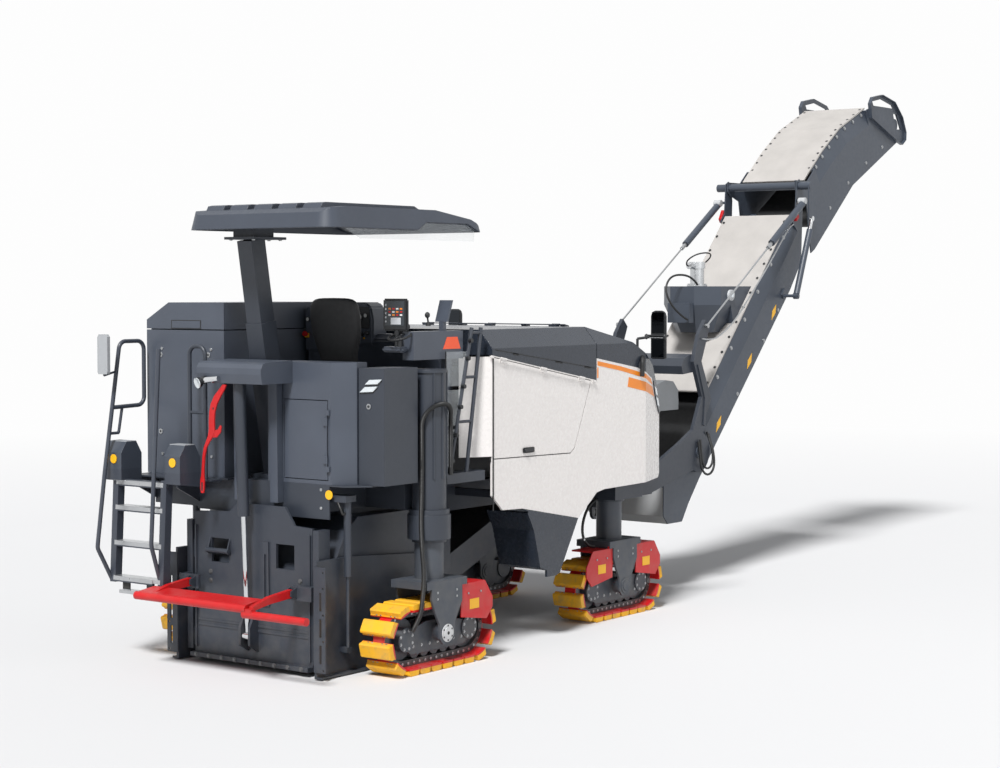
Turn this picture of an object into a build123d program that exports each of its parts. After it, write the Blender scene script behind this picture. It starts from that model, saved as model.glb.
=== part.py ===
"""Cold planer milling machine on four steered track units, with a folding front loading conveyor.

Frame: +X ahead, +Y left, +Z up, ground at Z = 0, millimetres. The origin is the middle of the
machine's length on the ground. Profiles are drawn with X measured ahead of the rear axle, which
is also the milling drum's axis, and the helpers below shift them to the machine's own origin.
"""
from build123d import *
from math import atan2, cos, degrees, hypot, pi, radians, sin
import os

os.makedirs("parts", exist_ok=True)

# ---- Driving dimensions -------------------------------------------------------------------
REAR_AXLE_X = -4094.0
WHEELBASE = 2955.0
RUN_GAP = 6.0
SEAT_GAP = 0.3
FIT = 0.5

# Track units
TRACK_LENGTH = 1331.0
TRACK_HEIGHT = 545.0
PAD_WIDTH = 300.0
PITCH_RADIUS = 190.0
SHOE_COUNT = 20
CHAIN_WIDTH = 110.0
CHAIN_HALF = 25.0
SHOE_PLATE = 14.0
SHOE_RUN = 122.0
PAD_BEVEL = 10.0
ROLLER_RADIUS = 55.0
ROLLER_X = (-240.0, -120.0, 0.0, 120.0, 240.0)
REAR_TRACK_Y = 1070.0
FRONT_TRACK_Y = 780.0
YOKE_GAP = 10.0
YOKE_PLATE = 20.0
YOKE_TOP = 700.0
YOKE_DECK = 60.0
YOKE_LENGTH = 500.0
PIVOT_Z = 285.0
PIVOT_RADIUS = 45.0

# Lifting columns
LEG_RADIUS = 115.0
COLUMN_WALL = 20.0
COLUMN_RADIUS = LEG_RADIUS + COLUMN_WALL
LEG_TOP = 1650.0
REAR_COLUMN = (985.0, 2330.0)
FRONT_COLUMN = (1040.0, 2150.0)
CLAMP_RADIUS = COLUMN_RADIUS + 35.0

# Milling drum and its housing
DRUM_Z = 560.0
CUTTING_RADIUS = 490.0
DRUM_RADIUS = 385.0
DRUM_WIDTH = 1200.0
DRUM_SHELL = 30.0
DRUM_BEARING_RADIUS = 150.0
HOUSING_WALL = 22.0
HOUSING_HALF = DRUM_WIDTH / 2 + 78.0 + HOUSING_WALL
HOUSING_REAR = -745.0
HOUSING_FRONT = 740.0
HOUSING_TOP = 1190.0
HOUSING_BOTTOM = 90.0
TOOL_ROWS = 30
TOOLS_PER_ROW = 3

# Scraper and edge protectors
SCRAPER_X = -860.0
SCRAPER_PLATE = 25.0
SCRAPER_HALF = HOUSING_HALF - 75.0
SCRAPER_BOTTOM = 40.0
GUIDE_Y = SCRAPER_HALF + 15.0
WINDOW_Y = 345.0
WINDOW_WIDTH = 190.0
WINDOW_Z = (800.0, 990.0)
EDGE_PLATE_Y = HOUSING_HALF + 22.0
EDGE_PLATE = 25.0
EDGE_BOTTOM = 8.0

# Rear bumper: pivot (X, Z) and the arms' places
BUMPER_PIVOT = (-1000.0, 645.0)
BUMPER_ARM_Y = (-520.0, 550.0)
BUMPER_TUBE_X = -1420.0

# Engine bodywork
BODY_HALF = 1130.0
BODY_NOSE_HALF = 980.0
BODY_REAR = 740.0
BODY_NOSE = 3480.0
BODY_TAPER_X = 3020.0
PANEL = 20.0
SHUT_LINE = 8.0
HOOD_TOP = 2620.0
HOOD_SHOULDER = 2470.0
HOOD_SPLIT = 2240.0

# Operator's platform, cabinets and canopy
DECK_Z = 1460.0
DECK_PLATE = 12.0
CABINET_REAR = -750.0
CABINET_TOP = 2390.0
CABINET_WALL = 15.0
LEFT_CABINET = (-790.0, 470.0, 360.0, 1225.0)
LEFT_CABINET_TOP = 2620.0
LID_TOP = 2840.0
MAST_Y = 80.0
MAST_FOOT_X = -460.0
MAST_LEAN = -0.167
CANOPY = (-1190.0, 720.0, -1100.0, 400.0)
CANOPY_BOTTOM = 3400.0
CANOPY_TOP = 3590.0
CANOPY_SHELL = 31.0
CANOPY_RIB = 30.0
CANOPY_CEILING = CANOPY_TOP - CANOPY_RIB - CANOPY_SHELL

# Conveyors
SLEW_X = 3850.0
SLEW_PIN_RADIUS = 70.0
SLEW_HUB_RADIUS = 115.0
SLEW_Z = (960.0, 1240.0)
LUFF_X = 4970.0
LUFF_Z = 1335.0
LUFF_PIN_RADIUS = 60.0
LUFF_BOSS = 200.0
FOLD_X = 7110.0
FOLD_Z = 4040.0
FOLD_TUBE_RADIUS = 42.0
LOWER_HALF = 440.0
UPPER_HALF = LOWER_HALF - 20.0
YOKE_ARM_Y = (LOWER_HALF + 25.0, LOWER_HALF + 65.0)
ROPE_Y = YOKE_ARM_Y[1] + 17.0
CONVEYOR_WALL = 12.0
STRIP_HEIGHT = 180.0
STRIP_LEAN = 48.0
BELT_HALF = 325.0
BELT_THICK = 12.0
IDLER_RADIUS = 45.0


# ---- Helpers ------------------------------------------------------------------------------
def shifted(points):
    """Points (X ahead of the rear axle, second coordinate) in the machine's own frame."""
    return [(x + REAR_AXLE_X, other) for x, other in points]


def face_of(plane, points):
    """Closed outline drawn on a plane."""
    with BuildSketch(plane) as outline:
        with BuildLine():
            Polyline(*points, close=True)
        make_face()
    return outline.sketch


def side_plate(points, y_from, y_to, mode=Mode.ADD):
    """Side profile (X, Z) as thick as y_from to y_to."""
    plane = Plane(origin=(0, y_to, 0), x_dir=(1, 0, 0), z_dir=(0, -1, 0))
    extrude(face_of(plane, shifted(points)), amount=y_to - y_from, mode=mode)


def end_plate(points, x_from, x_to, mode=Mode.ADD):
    """Cross profile (Y, Z) from x_from to x_to."""
    plane = Plane(origin=(x_from + REAR_AXLE_X, 0, 0), x_dir=(0, 1, 0), z_dir=(1, 0, 0))
    extrude(face_of(plane, points), amount=x_to - x_from, mode=mode)


def plan_plate(points, z_from, z_to, mode=Mode.ADD):
    """Plan profile (X, Y) from z_from to z_to."""
    extrude(face_of(Plane.XY.offset(z_from), shifted(points)), amount=z_to - z_from, mode=mode)


def block(x_span, y_span, z_span, mode=Mode.ADD):
    """Square bar or plate between three pairs of limits."""
    corners = [(x_span[0], y_span[0]), (x_span[1], y_span[0]),
               (x_span[1], y_span[1]), (x_span[0], y_span[1])]
    plan_plate(corners, z_span[0], z_span[1], mode)


def bar(start, end, radius, mode=Mode.ADD):
    """Round bar between two points."""
    first = Vector(start[0] + REAR_AXLE_X, start[1], start[2])
    last = Vector(end[0] + REAR_AXLE_X, end[1], end[2])
    plane = Plane(origin=first, z_dir=last - first)
    with BuildSketch(plane) as section:
        Circle(radius)
    extrude(section.sketch, amount=(last - first).length, mode=mode)


def bent_tube(points, radius, bend):
    """Round tube along a route whose corners are all bent to one radius."""
    route = [(x + REAR_AXLE_X, y, z) for x, y, z in points]
    with BuildLine() as path:
        FilletPolyline(*route, radius=bend)
    with BuildSketch(Plane(origin=path.line @ 0, z_dir=path.line % 0)) as section:
        Circle(radius)
    sweep(section.sketch, path=path.line)


def hinge_rod(start, end, radius=5.0):
    """Fixed rod of an outside hinge."""
    bar(start, end, radius)


def knuckle(start, end, radius=5.0):
    """Sleeve round a hinge rod, on the swinging side."""
    bar(start, end, radius + 4)


def hinge_bore(start, end, radius=5.0):
    """Bore that the rod runs in, cut after the sleeves are joined to their leaf."""
    bar(start, end, radius + FIT, Mode.SUBTRACT)


def toward(first, last, distance):
    """Side-view point at a distance from the first point towards the last."""
    run = hypot(last[0] - first[0], last[1] - first[1])
    return (first[0] + (last[0] - first[0]) * distance / run,
            first[1] + (last[1] - first[1]) * distance / run)


def beside_line(first, last, distance, rise):
    """Side-view point at a distance along a line and a height square to it."""
    run = hypot(last[0] - first[0], last[1] - first[1])
    ux, uz = (last[0] - first[0]) / run, (last[1] - first[1]) / run
    return (first[0] + ux * distance - uz * rise, first[1] + uz * distance + ux * rise)


def both_sides(low, high):
    """The left and the right pair of Y limits of a piece that is on both sides."""
    return ((low, high), (-high, -low))


def finish(builder, name):
    """Label a sub-part and write it to its own STEP file."""
    builder.part.label = name
    export_step(builder.part, f"parts/{name}.step")


# ---- Track units --------------------------------------------------------------------------
STRAIGHT = TRACK_LENGTH - TRACK_HEIGHT
LOOP_Z = TRACK_HEIGHT / 2
SHOE_PITCH = (2 * STRAIGHT + 2 * pi * PITCH_RADIUS) / SHOE_COUNT
PAD_HEIGHT = TRACK_HEIGHT / 2 - PITCH_RADIUS


def shoe_location(index):
    """Place of one shoe: its distance round the pitch line turned into a point and an angle."""
    arc = pi * PITCH_RADIUS
    run = (index + 0.5) * SHOE_PITCH
    if run < STRAIGHT:
        return Location((-STRAIGHT / 2 + run, 0, LOOP_Z + PITCH_RADIUS), (0, 0, 0))
    run -= STRAIGHT
    if run < arc:
        turn = run / PITCH_RADIUS
        centre = STRAIGHT / 2
    elif run < arc + STRAIGHT:
        back = STRAIGHT / 2 - (run - arc)
        return Location((back, 0, LOOP_Z - PITCH_RADIUS), (0, 180, 0))
    else:
        turn = pi + (run - arc - STRAIGHT) / PITCH_RADIUS
        centre = -STRAIGHT / 2
    x = centre + PITCH_RADIUS * sin(turn)
    z = LOOP_Z + PITCH_RADIUS * cos(turn)
    return Location((x, 0, z), (0, degrees(turn), 0))


def stadium(radius):
    """Outline of the track loop at one distance from its end centres."""
    SlotCenterToCenter(STRAIGHT, 2 * radius)


with BuildPart() as shoe:
    half = SHOE_RUN / 2
    shoe_points = [(-half, CHAIN_HALF), (half, CHAIN_HALF), (half, CHAIN_HALF + SHOE_PLATE),
                   (half - PAD_BEVEL / 2, CHAIN_HALF + SHOE_PLATE),
                   (half - PAD_BEVEL / 2, PAD_HEIGHT - PAD_BEVEL),
                   (half - 1.5 * PAD_BEVEL, PAD_HEIGHT),
                   (-half + 1.5 * PAD_BEVEL, PAD_HEIGHT),
                   (-half + PAD_BEVEL / 2, PAD_HEIGHT - PAD_BEVEL),
                   (-half + PAD_BEVEL / 2, CHAIN_HALF + SHOE_PLATE),
                   (-half, CHAIN_HALF + SHOE_PLATE)]
    shoe_plane = Plane(origin=(0, PAD_WIDTH / 2, 0), x_dir=(1, 0, 0), z_dir=(0, -1, 0))
    extrude(face_of(shoe_plane, shoe_points), amount=PAD_WIDTH)

with BuildPart() as loop:
    with BuildSketch(Plane(origin=(0, CHAIN_WIDTH / 2, LOOP_Z), x_dir=(1, 0, 0),
                           z_dir=(0, -1, 0))):
        stadium(PITCH_RADIUS + CHAIN_HALF + 5)
        with BuildSketch(mode=Mode.SUBTRACT):
            stadium(PITCH_RADIUS - CHAIN_HALF)
    extrude(amount=CHAIN_WIDTH)
    add([shoe.part.moved(shoe_location(index)) for index in range(SHOE_COUNT)])

YOKE_INNER = PAD_WIDTH / 2 + YOKE_GAP
YOKE_OUTER = YOKE_INNER + YOKE_PLATE


def track_frame(x, y):
    """Yoke, leg and roller frame of one track unit: everything that its steering turns."""
    rollers_z = LOOP_Z - PITCH_RADIUS + CHAIN_HALF + SEAT_GAP + ROLLER_RADIUS
    wheel = PITCH_RADIUS - CHAIN_HALF - SEAT_GAP
    inner = CHAIN_WIDTH / 2 + 8
    bar((x, y, YOKE_TOP - 20), (x, y, LEG_TOP), LEG_RADIUS)
    block((x - YOKE_LENGTH / 2, x + YOKE_LENGTH / 2), (y - YOKE_OUTER, y + YOKE_OUTER),
          (YOKE_TOP - YOKE_DECK, YOKE_TOP))
    arm = [(x - 190, YOKE_TOP - YOKE_DECK), (x + 190, YOKE_TOP - YOKE_DECK), (x + 190, 520),
           (x + 95, 360), (x + 95, 250), (x + 50, 200), (x - 50, 200), (x - 95, 250),
           (x - 95, 360), (x - 150, 460), (x - 190, 560)]
    for low, high in both_sides(YOKE_INNER, YOKE_OUTER):
        side_plate(arm, y + low, y + high)
    bar((x, y - YOKE_OUTER - 12, PIVOT_Z), (x, y + YOKE_OUTER + 12, PIVOT_Z), PIVOT_RADIUS)
    bar((x, y - YOKE_OUTER - 7, PIVOT_Z), (x, y + YOKE_OUTER + 7, PIVOT_Z), PIVOT_RADIUS + 25)
    beam = [(x - 400, 200), (x - 330, 150), (x + 330, 150), (x + 400, 200), (x + 400, 345),
            (x + 300, 345), (x + 150, 385), (x - 150, 385), (x - 300, 345), (x - 400, 345)]
    for low, high in both_sides(inner, inner + 18):
        side_plate(beam, y + low, y + high)
    for roller_x in ROLLER_X:
        bar((x + roller_x, y - inner - 18, rollers_z), (x + roller_x, y + inner + 18, rollers_z), 20)
        bar((x + roller_x, y - 45, rollers_z), (x + roller_x, y + 45, rollers_z), ROLLER_RADIUS)
    for end in (-STRAIGHT / 2, STRAIGHT / 2):
        bar((x + end, y - 22, LOOP_Z), (x + end, y + 22, LOOP_Z), wheel)
        bar((x + end, y - inner - 30, LOOP_Z), (x + end, y + inner + 30, LOOP_Z), 95)


def track_guard(x, y, out, ends):
    """Deflector plates over the belt's top corners, on the outer side, at the listed ends."""
    low, high = sorted((y + out * (YOKE_INNER - 2), y + out * (YOKE_INNER + 8)))
    for end in ends:
        side = [(x + end * (190 + SEAT_GAP), 380), (x + end * 520, 330), (x + end * 600, 420),
                (x + end * 600, 500), (x + end * 500, 640), (x + end * (190 + SEAT_GAP), 640)]
        if end < 0:
            side.reverse()
        side_plate(side, low, high)
        near, far = sorted((x + end * (250 + SEAT_GAP), x + end * 500))
        block((near, far), sorted((y - out * 60, y + out * YOKE_INNER)), (625, 640))


TRACKS = (  # name, X, Y, outer side, guarded ends
    ("rear_right", 0.0, -REAR_TRACK_Y, -1, (1,)),
    ("rear_left", 0.0, REAR_TRACK_Y, 1, (1,)),
    ("front_right", WHEELBASE, -FRONT_TRACK_Y, -1, (-1, 1)),
    ("front_left", WHEELBASE, FRONT_TRACK_Y, 1, (-1, 1)),
)
for track_name, track_x, track_y, outward, guarded in TRACKS:
    with BuildPart() as belt:
        add(loop.part.moved(Location((track_x + REAR_AXLE_X, track_y, 0))))
    finish(belt, f"track_belt_{track_name}")
    with BuildPart() as frame_unit:
        track_frame(track_x, track_y)
        track_guard(track_x, track_y, outward, guarded)
    finish(frame_unit, f"track_frame_{track_name}")

# ---- Lifting columns, one at each corner --------------------------------------------------
COLUMN_BORE = LEG_RADIUS + FIT
with BuildPart() as columns:
    for name, x, y, out, ends in TRACKS:
        bottom, top = REAR_COLUMN if x == 0 else FRONT_COLUMN
        bar((x, y, bottom), (x, y, top), COLUMN_RADIUS)
        bar((x, y, bottom - 10), (x, y, LEG_TOP + 60), COLUMN_BORE, Mode.SUBTRACT)
        if x == 0 and out < 0:
            bar((x, y, top - 28), (x, y, top - 8), COLUMN_RADIUS + 12)
            for angle in (-35, 0, 35):
                rib_x = (COLUMN_RADIUS + 2) * sin(radians(angle))
                rib_y = y + out * (COLUMN_RADIUS + 2) * cos(radians(angle))
                bar((rib_x, rib_y, 1480), (rib_x, rib_y, top - 20), 9)
finish(columns, "lifting_columns")

# ---- Main frame ---------------------------------------------------------------------------
RAIL_Y = (520.0, 545.0)
ENGINE_Z = 1331.0
EYE_RADIUS = 65.0
EYE_BORE = 35.0
DECK_UNDER = DECK_Z - DECK_PLATE - SEAT_GAP
PRIMARY_TAIL = (790.0, 430.0)
PRIMARY_HEAD = (4480.0, 1880.0)
PRIMARY_LOW = -110.0
PRIMARY_HIGH = 130.0
PRIMARY_LENGTH = hypot(PRIMARY_HEAD[0] - PRIMARY_TAIL[0], PRIMARY_HEAD[1] - PRIMARY_TAIL[1])


def primary_line(distance, rise):
    """Point at a distance along the primary conveyor and a height square to it."""
    ux = (PRIMARY_HEAD[0] - PRIMARY_TAIL[0]) / PRIMARY_LENGTH
    uz = (PRIMARY_HEAD[1] - PRIMARY_TAIL[1]) / PRIMARY_LENGTH
    return (PRIMARY_TAIL[0] + ux * distance - uz * rise, PRIMARY_TAIL[1] + uz * distance + ux * rise)


def saddle_point(x):
    """Point just under the primary conveyor's lower edge."""
    first, last = primary_line(0, PRIMARY_LOW), primary_line(PRIMARY_LENGTH, PRIMARY_LOW)
    share = (x - first[0]) / (last[0] - first[0])
    return (x, first[1] + share * (last[1] - first[1]) - SEAT_GAP)


def eye(x, z, y_span, root_x):
    """Bored lug of the frame; its root reaches to root_x, or straight up when that is None."""
    bar((x, y_span[0], z), (x, y_span[1], z), EYE_RADIUS)
    if root_x is None:
        block((x - EYE_RADIUS, x + EYE_RADIUS), y_span, (z, z + 80))
    else:
        block(sorted((x, root_x)), y_span, (z - EYE_RADIUS, z + EYE_RADIUS))
    bar((x, y_span[0] - 1, z), (x, y_span[1] + 1, z), EYE_BORE, Mode.SUBTRACT)


with BuildPart() as main_frame:
    rail = [(-700, 1230), (700, 1230), (860, 1110), (2500, 1110), (2700, 1050), (3300, 1050),
            (3420, 1150), (3420, 1285), (2560, 1330), (800, 1330), (620, DECK_UNDER), (-700, DECK_UNDER)]
    for low, high in both_sides(*RAIL_Y):
        side_plate(rail, low, high)
    for cross_x in (-600, 0, 600, 1050, 2250):
        block((cross_x - 50, cross_x + 50), (-RAIL_Y[0], RAIL_Y[0]), (1255, ENGINE_Z - SEAT_GAP))
    for side in (-1, 1):
        for rib_x in (1000, 2480):
            block((rib_x, rib_x + 60), sorted((side * RAIL_Y[1], side * (BODY_HALF - PANEL - SEAT_GAP))),
                  (1235, 1295))
        y = side * FRONT_TRACK_Y
        block((WHEELBASE - 220, WHEELBASE + 220), sorted((side * RAIL_Y[1], y + side * 215)), (1070, 1300))
        lug_y = sorted((side * 890, side * 920))
        eye(WHEELBASE + 270, 1130, lug_y, WHEELBASE + 200)
        bar((WHEELBASE, y, 1060), (WHEELBASE, y, 1310), COLUMN_RADIUS + SEAT_GAP, Mode.SUBTRACT)
        y = side * REAR_TRACK_Y
        bar((0, y, 1010), (0, y, 1200), CLAMP_RADIUS)
        block((-150, 150), sorted((side * RAIL_Y[1], y - side * 120)), (1235, 1430))
        bar((0, y, 1190), (0, y, 1240), CLAMP_RADIUS - 10)
        eye(200, 1300, lug_y, 130)
        bar((0, y, 1000), (0, y, 1440), COLUMN_RADIUS + SEAT_GAP, Mode.SUBTRACT)
        block((-720, -600), sorted((side * RAIL_Y[1], side * (EDGE_PLATE_Y + 118))), (1330, 1380))
        eye(3430, 860, sorted((side * 290, side * 320)), None)
    nose = [(3420, -545), (3420, 545), (3480, 545), (3800, 180), (SLEW_X, 180), (SLEW_X, -180),
            (3800, -180), (3480, -545)]
    for low, high in ((SLEW_Z[0] - 45, SLEW_Z[0] - RUN_GAP), (SLEW_Z[1] + RUN_GAP, SLEW_Z[1] + 45)):
        plan_plate(nose, low, high)
        bar((SLEW_X, 0, low), (SLEW_X, 0, high), 180)
    block((3360, 3430), (-545, 545), (SLEW_Z[0] - 45, SLEW_Z[1] + 45))
    for low, high in both_sides(350, 380):
        side_plate([(3360, SLEW_Z[1] + 40), (3430, SLEW_Z[1] + 40), saddle_point(3430), saddle_point(3360)],
                   low, high)
    bar((SLEW_X, 0, SLEW_Z[0] - 45), (SLEW_X, 0, SLEW_Z[1] + 45), SLEW_PIN_RADIUS)
finish(main_frame, "main_frame")

with BuildPart() as engine_block:
    block((950, 2350), (-400, 400), (ENGINE_Z, 2250))
finish(engine_block, "engine_block")

# ---- Milling drum -------------------------------------------------------------------------
with BuildPart() as milling_drum:
    bar((0, -DRUM_WIDTH / 2 + 20, DRUM_Z), (0, DRUM_WIDTH / 2 - 20, DRUM_Z), DRUM_RADIUS)
    for side in (-1, 1):
        bar((0, side * 400, DRUM_Z), (0, side * DRUM_WIDTH / 2, DRUM_Z),
            DRUM_RADIUS - DRUM_SHELL, Mode.SUBTRACT)
    bar((0, -401, DRUM_Z), (0, 401, DRUM_Z), DRUM_BEARING_RADIUS - 60, Mode.SUBTRACT)
    tool = []
    for row in range(TOOL_ROWS):
        for start in range(TOOLS_PER_ROW):
            along = (row - (TOOL_ROWS - 1) / 2) * (DRUM_WIDTH - 70) / TOOL_ROWS
            turn = 360 / TOOLS_PER_ROW * start + abs(along) * 0.45
            holder = Pos(REAR_AXLE_X, along, DRUM_Z) * Rot(0, turn, 0) * Pos(0, 0, DRUM_RADIUS + 30)
            tool.append(holder * Box(80, 26, 75, mode=Mode.PRIVATE))
            pick = holder * Pos(10, 0, 25) * Rot(0, 40, 0)
            tool.append(pick * Cone(15, 4, 50, align=(Align.CENTER, Align.CENTER, Align.MIN),
                                    mode=Mode.PRIVATE))
    add(tool)
finish(milling_drum, "milling_drum")

# ---- Drum housing -------------------------------------------------------------------------
with BuildPart() as drum_housing:
    roof = [(HOUSING_REAR, 760), (-560, 1090), (-420, HOUSING_TOP), (420, HOUSING_TOP),
            (HOUSING_FRONT, 900), (HOUSING_FRONT, HOUSING_BOTTOM), (HOUSING_REAR, HOUSING_BOTTOM)]
    side_plate(roof, -HOUSING_HALF, HOUSING_HALF)
    wall = HOUSING_WALL
    inside = [(HOUSING_REAR - 1, 740), (-545, 1065), (-410, HOUSING_TOP - wall),
              (410, HOUSING_TOP - wall), (HOUSING_FRONT - wall, 890),
              (HOUSING_FRONT - wall, HOUSING_BOTTOM - 1), (HOUSING_REAR - 1, HOUSING_BOTTOM - 1)]
    side_plate(inside, -HOUSING_HALF + wall, HOUSING_HALF - wall, Mode.SUBTRACT)
    block((HOUSING_FRONT - wall - 1, HOUSING_FRONT + 1), (-340, 340), (230, 800), Mode.SUBTRACT)
    block((-400, 400), (-RAIL_Y[1], RAIL_Y[1]), (HOUSING_TOP, 1229.7))
    for side in (-1, 1):
        bar((0, side * (HOUSING_HALF - wall), DRUM_Z), (0, side * 405, DRUM_Z),
            DRUM_BEARING_RADIUS)
        bar((0, side * 405, DRUM_Z), (0, side * 330, DRUM_Z), DRUM_BEARING_RADIUS - 60.5)
        block((SCRAPER_X - 12, HOUSING_REAR), sorted((side * GUIDE_Y, side * HOUSING_HALF)),
              (HOUSING_BOTTOM, 1120))
    for side in (-1, 1):
        reach = -BUMPER_ARM_Y[0] - 60 if side < 0 else BUMPER_ARM_Y[1] - 60
        block((-960, -871), sorted((side * (SCRAPER_HALF + 20), side * HOUSING_HALF)), (590, 700))
        block((-960, -935), sorted((side * reach, side * HOUSING_HALF)), (590, 700))
    for y in BUMPER_ARM_Y:
        for low, high in ((-37, -25), (25, 37)):
            side_plate([(-1025, 625), (-1025, 665), (-959, 690), (-959, 600)], y + low, y + high)
        bar((BUMPER_PIVOT[0], y - 37, BUMPER_PIVOT[1]), (BUMPER_PIVOT[0], y + 37, BUMPER_PIVOT[1]), 12)
finish(drum_housing, "drum_housing")

# ---- Scraper and its lifting cylinder -----------------------------------------------------
with BuildPart() as scraper_plate:
    blade = [(SCRAPER_HALF, SCRAPER_BOTTOM), (-SCRAPER_HALF, SCRAPER_BOTTOM),
             (-SCRAPER_HALF, 1130), (-440, 1140), (-340, 1280), (160, 1280), (240, 1210),
             (SCRAPER_HALF, 1190)]
    end_plate(blade, SCRAPER_X, SCRAPER_X + SCRAPER_PLATE)
    for side in (-1, 1):
        block((SCRAPER_X - 1, SCRAPER_X + SCRAPER_PLATE + 1),
              sorted((side * (WINDOW_Y - WINDOW_WIDTH / 2), side * (WINDOW_Y + WINDOW_WIDTH / 2))),
              WINDOW_Z, Mode.SUBTRACT)
    block((SCRAPER_X - 60, SCRAPER_X), (-SCRAPER_HALF, SCRAPER_HALF), (SCRAPER_BOTTOM, 75))
    for low, high in ((-62, -38), (38, 62)):
        side_plate([(SCRAPER_X, 130), (SCRAPER_X - 95, 190), (SCRAPER_X - 95, 330), (SCRAPER_X - 60, 400),
                    (SCRAPER_X, 470)], low, high)
    for z in (285, 325):
        block((SCRAPER_X - 6, SCRAPER_X), (-SCRAPER_HALF + 40, SCRAPER_HALF - 40), (z, z + 18))
    lever = [(-185, 500), (-115, 500), (-120, 1000), (-180, 1000)]
    end_plate(lever, SCRAPER_X - 14, SCRAPER_X)
    end_plate([(-162, 560), (-138, 560), (-138, 900), (-162, 900)], SCRAPER_X - 15, SCRAPER_X - 1,
              Mode.SUBTRACT)
    bar((SCRAPER_X - 30, WINDOW_Y - 120, 895), (SCRAPER_X - 30, WINDOW_Y + 120, 895), 20)
    for y in (WINDOW_Y - 112, WINDOW_Y + 100):
        side_plate([(SCRAPER_X, 860), (SCRAPER_X - 30, 870), (SCRAPER_X - 48, 895), (SCRAPER_X - 30, 920),
                    (SCRAPER_X, 1000)], y, y + 12)
    for side in (-1, 1):
        block((SCRAPER_X - 16, SCRAPER_X), sorted((side * (SCRAPER_HALF - 30), side * (SCRAPER_HALF - 14))),
              (110, 1080))
    for side in (-1, 1):
        for low in (120, 820):
            block((SCRAPER_X + 3, SCRAPER_X + SCRAPER_PLATE - 3),
                  sorted((side * (SCRAPER_HALF - 1), side * (GUIDE_Y - FIT))), (low, low + 140))
finish(scraper_plate, "scraper_plate")

CYLINDER_FOOT = (SCRAPER_X - 52, 0.0, 260.0)
HEAD_PIN = (-1000.0, 2270.0)
HEAD_PIN_RADIUS = 16.0
HEAD_SEAT = toward(HEAD_PIN, (CYLINDER_FOOT[0], CYLINDER_FOOT[2]), HEAD_PIN_RADIUS + SEAT_GAP)
CYLINDER_HEAD = (HEAD_SEAT[0], 0.0, HEAD_SEAT[1])


def along_cylinder(share):
    """Point on the scraper cylinder's centre line, from its foot (0) to its head (1)."""
    return tuple(a + (b - a) * share for a, b in zip(CYLINDER_FOOT, CYLINDER_HEAD))


with BuildPart() as scraper_rod:
    bar(along_cylinder(0), along_cylinder(0.72), 22)
    foot_x, foot_y, foot_z = CYLINDER_FOOT
    bar((foot_x, -32, foot_z), (foot_x, 32, foot_z), 36)
finish(scraper_rod, "scraper_rod")

EDGE_ROD_X = -660.0
EDGE_ROD_Y = EDGE_PLATE_Y + 83.0
with BuildPart() as lift_cylinders:
    bar(along_cylinder(0.47), along_cylinder(1), 45)
    bar(along_cylinder(0.46), along_cylinder(0.95), 22 + FIT, Mode.SUBTRACT)
    for y in (-EDGE_ROD_Y, EDGE_ROD_Y):
        bar((EDGE_ROD_X, y, 760), (EDGE_ROD_X, y, 1330 - SEAT_GAP), 30)
        bar((EDGE_ROD_X, y, 750), (EDGE_ROD_X, y, 1200), 14 + FIT, Mode.SUBTRACT)
finish(lift_cylinders, "lift_cylinders")

with BuildPart() as cylinder_cover:
    cover = [(-1088, 2225), (-1104, 2300), (-1102, 2345), (-1082, 2378), (-1045, 2391),
             (CABINET_REAR, 2400), (CABINET_REAR, 2225)]
    side_plate(cover, -330, 350)
    cover_inside = [(-1076, 2214), (-1092, 2300), (-1090, 2340), (-1074, 2368), (-1043, 2379),
                    (CABINET_REAR - 12, 2388), (CABINET_REAR - 12, 2214)]
    side_plate(cover_inside, -318, 338, Mode.SUBTRACT)
    bar((HEAD_PIN[0], -318, HEAD_PIN[1]), (HEAD_PIN[0], 338, HEAD_PIN[1]), HEAD_PIN_RADIUS)
    for low, high in ((-230, -150), (150, 230)):
        side_plate([(-825, 2300), (CABINET_REAR - 12, 2300), (CABINET_REAR - SEAT_GAP, 1500),
                    (CABINET_REAR - SEAT_GAP, 1300), (-815, 1300)], low, high)
finish(cylinder_cover, "cylinder_cover")

for side_name, side in (("left", 1), ("right", -1)):
    with BuildPart() as edge_plate:
        low, high = sorted((side * EDGE_PLATE_Y, side * (EDGE_PLATE_Y + EDGE_PLATE)))
        edge = [(-950, EDGE_BOTTOM), (700, EDGE_BOTTOM), (800, 140), (800, 420), (560, 560),
                (560, 820), (-560, 900), (-950, 900)]
        side_plate(edge, low, high)
        flange = sorted((side * (EDGE_PLATE_Y + 2), side * (EDGE_PLATE_Y + 118)))
        block((-960, -948), flange, (60, 860))
        slot = sorted((side * (EDGE_PLATE_Y + 58), side * (EDGE_PLATE_Y + 80)))
        for slot_z in (130, 330, 530):
            block((-961, -947), slot, (slot_z, slot_z + 140), Mode.SUBTRACT)
        for hole_z in (80, 300, 500, 700, 820):
            bar((-961, side * (EDGE_PLATE_Y + 96), hole_z), (-947, side * (EDGE_PLATE_Y + 96), hole_z), 9,
                Mode.SUBTRACT)
        foot_low, foot_high = sorted((side * (EDGE_PLATE_Y + 2), side * (EDGE_PLATE_Y + 70)))
        block((-950, 300), (foot_low, foot_high), (EDGE_BOTTOM, EDGE_BOTTOM + 16))
        lug_low, lug_high = sorted((side * (EDGE_PLATE_Y + 2), side * (EDGE_ROD_Y + 16)))
        block((EDGE_ROD_X - 30, EDGE_ROD_X + 30), (lug_low, lug_high), (180, 220))
        bar((EDGE_ROD_X, side * EDGE_ROD_Y, 215), (EDGE_ROD_X, side * EDGE_ROD_Y, 900), 14)
    finish(edge_plate, f"edge_protector_{side_name}")

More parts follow.
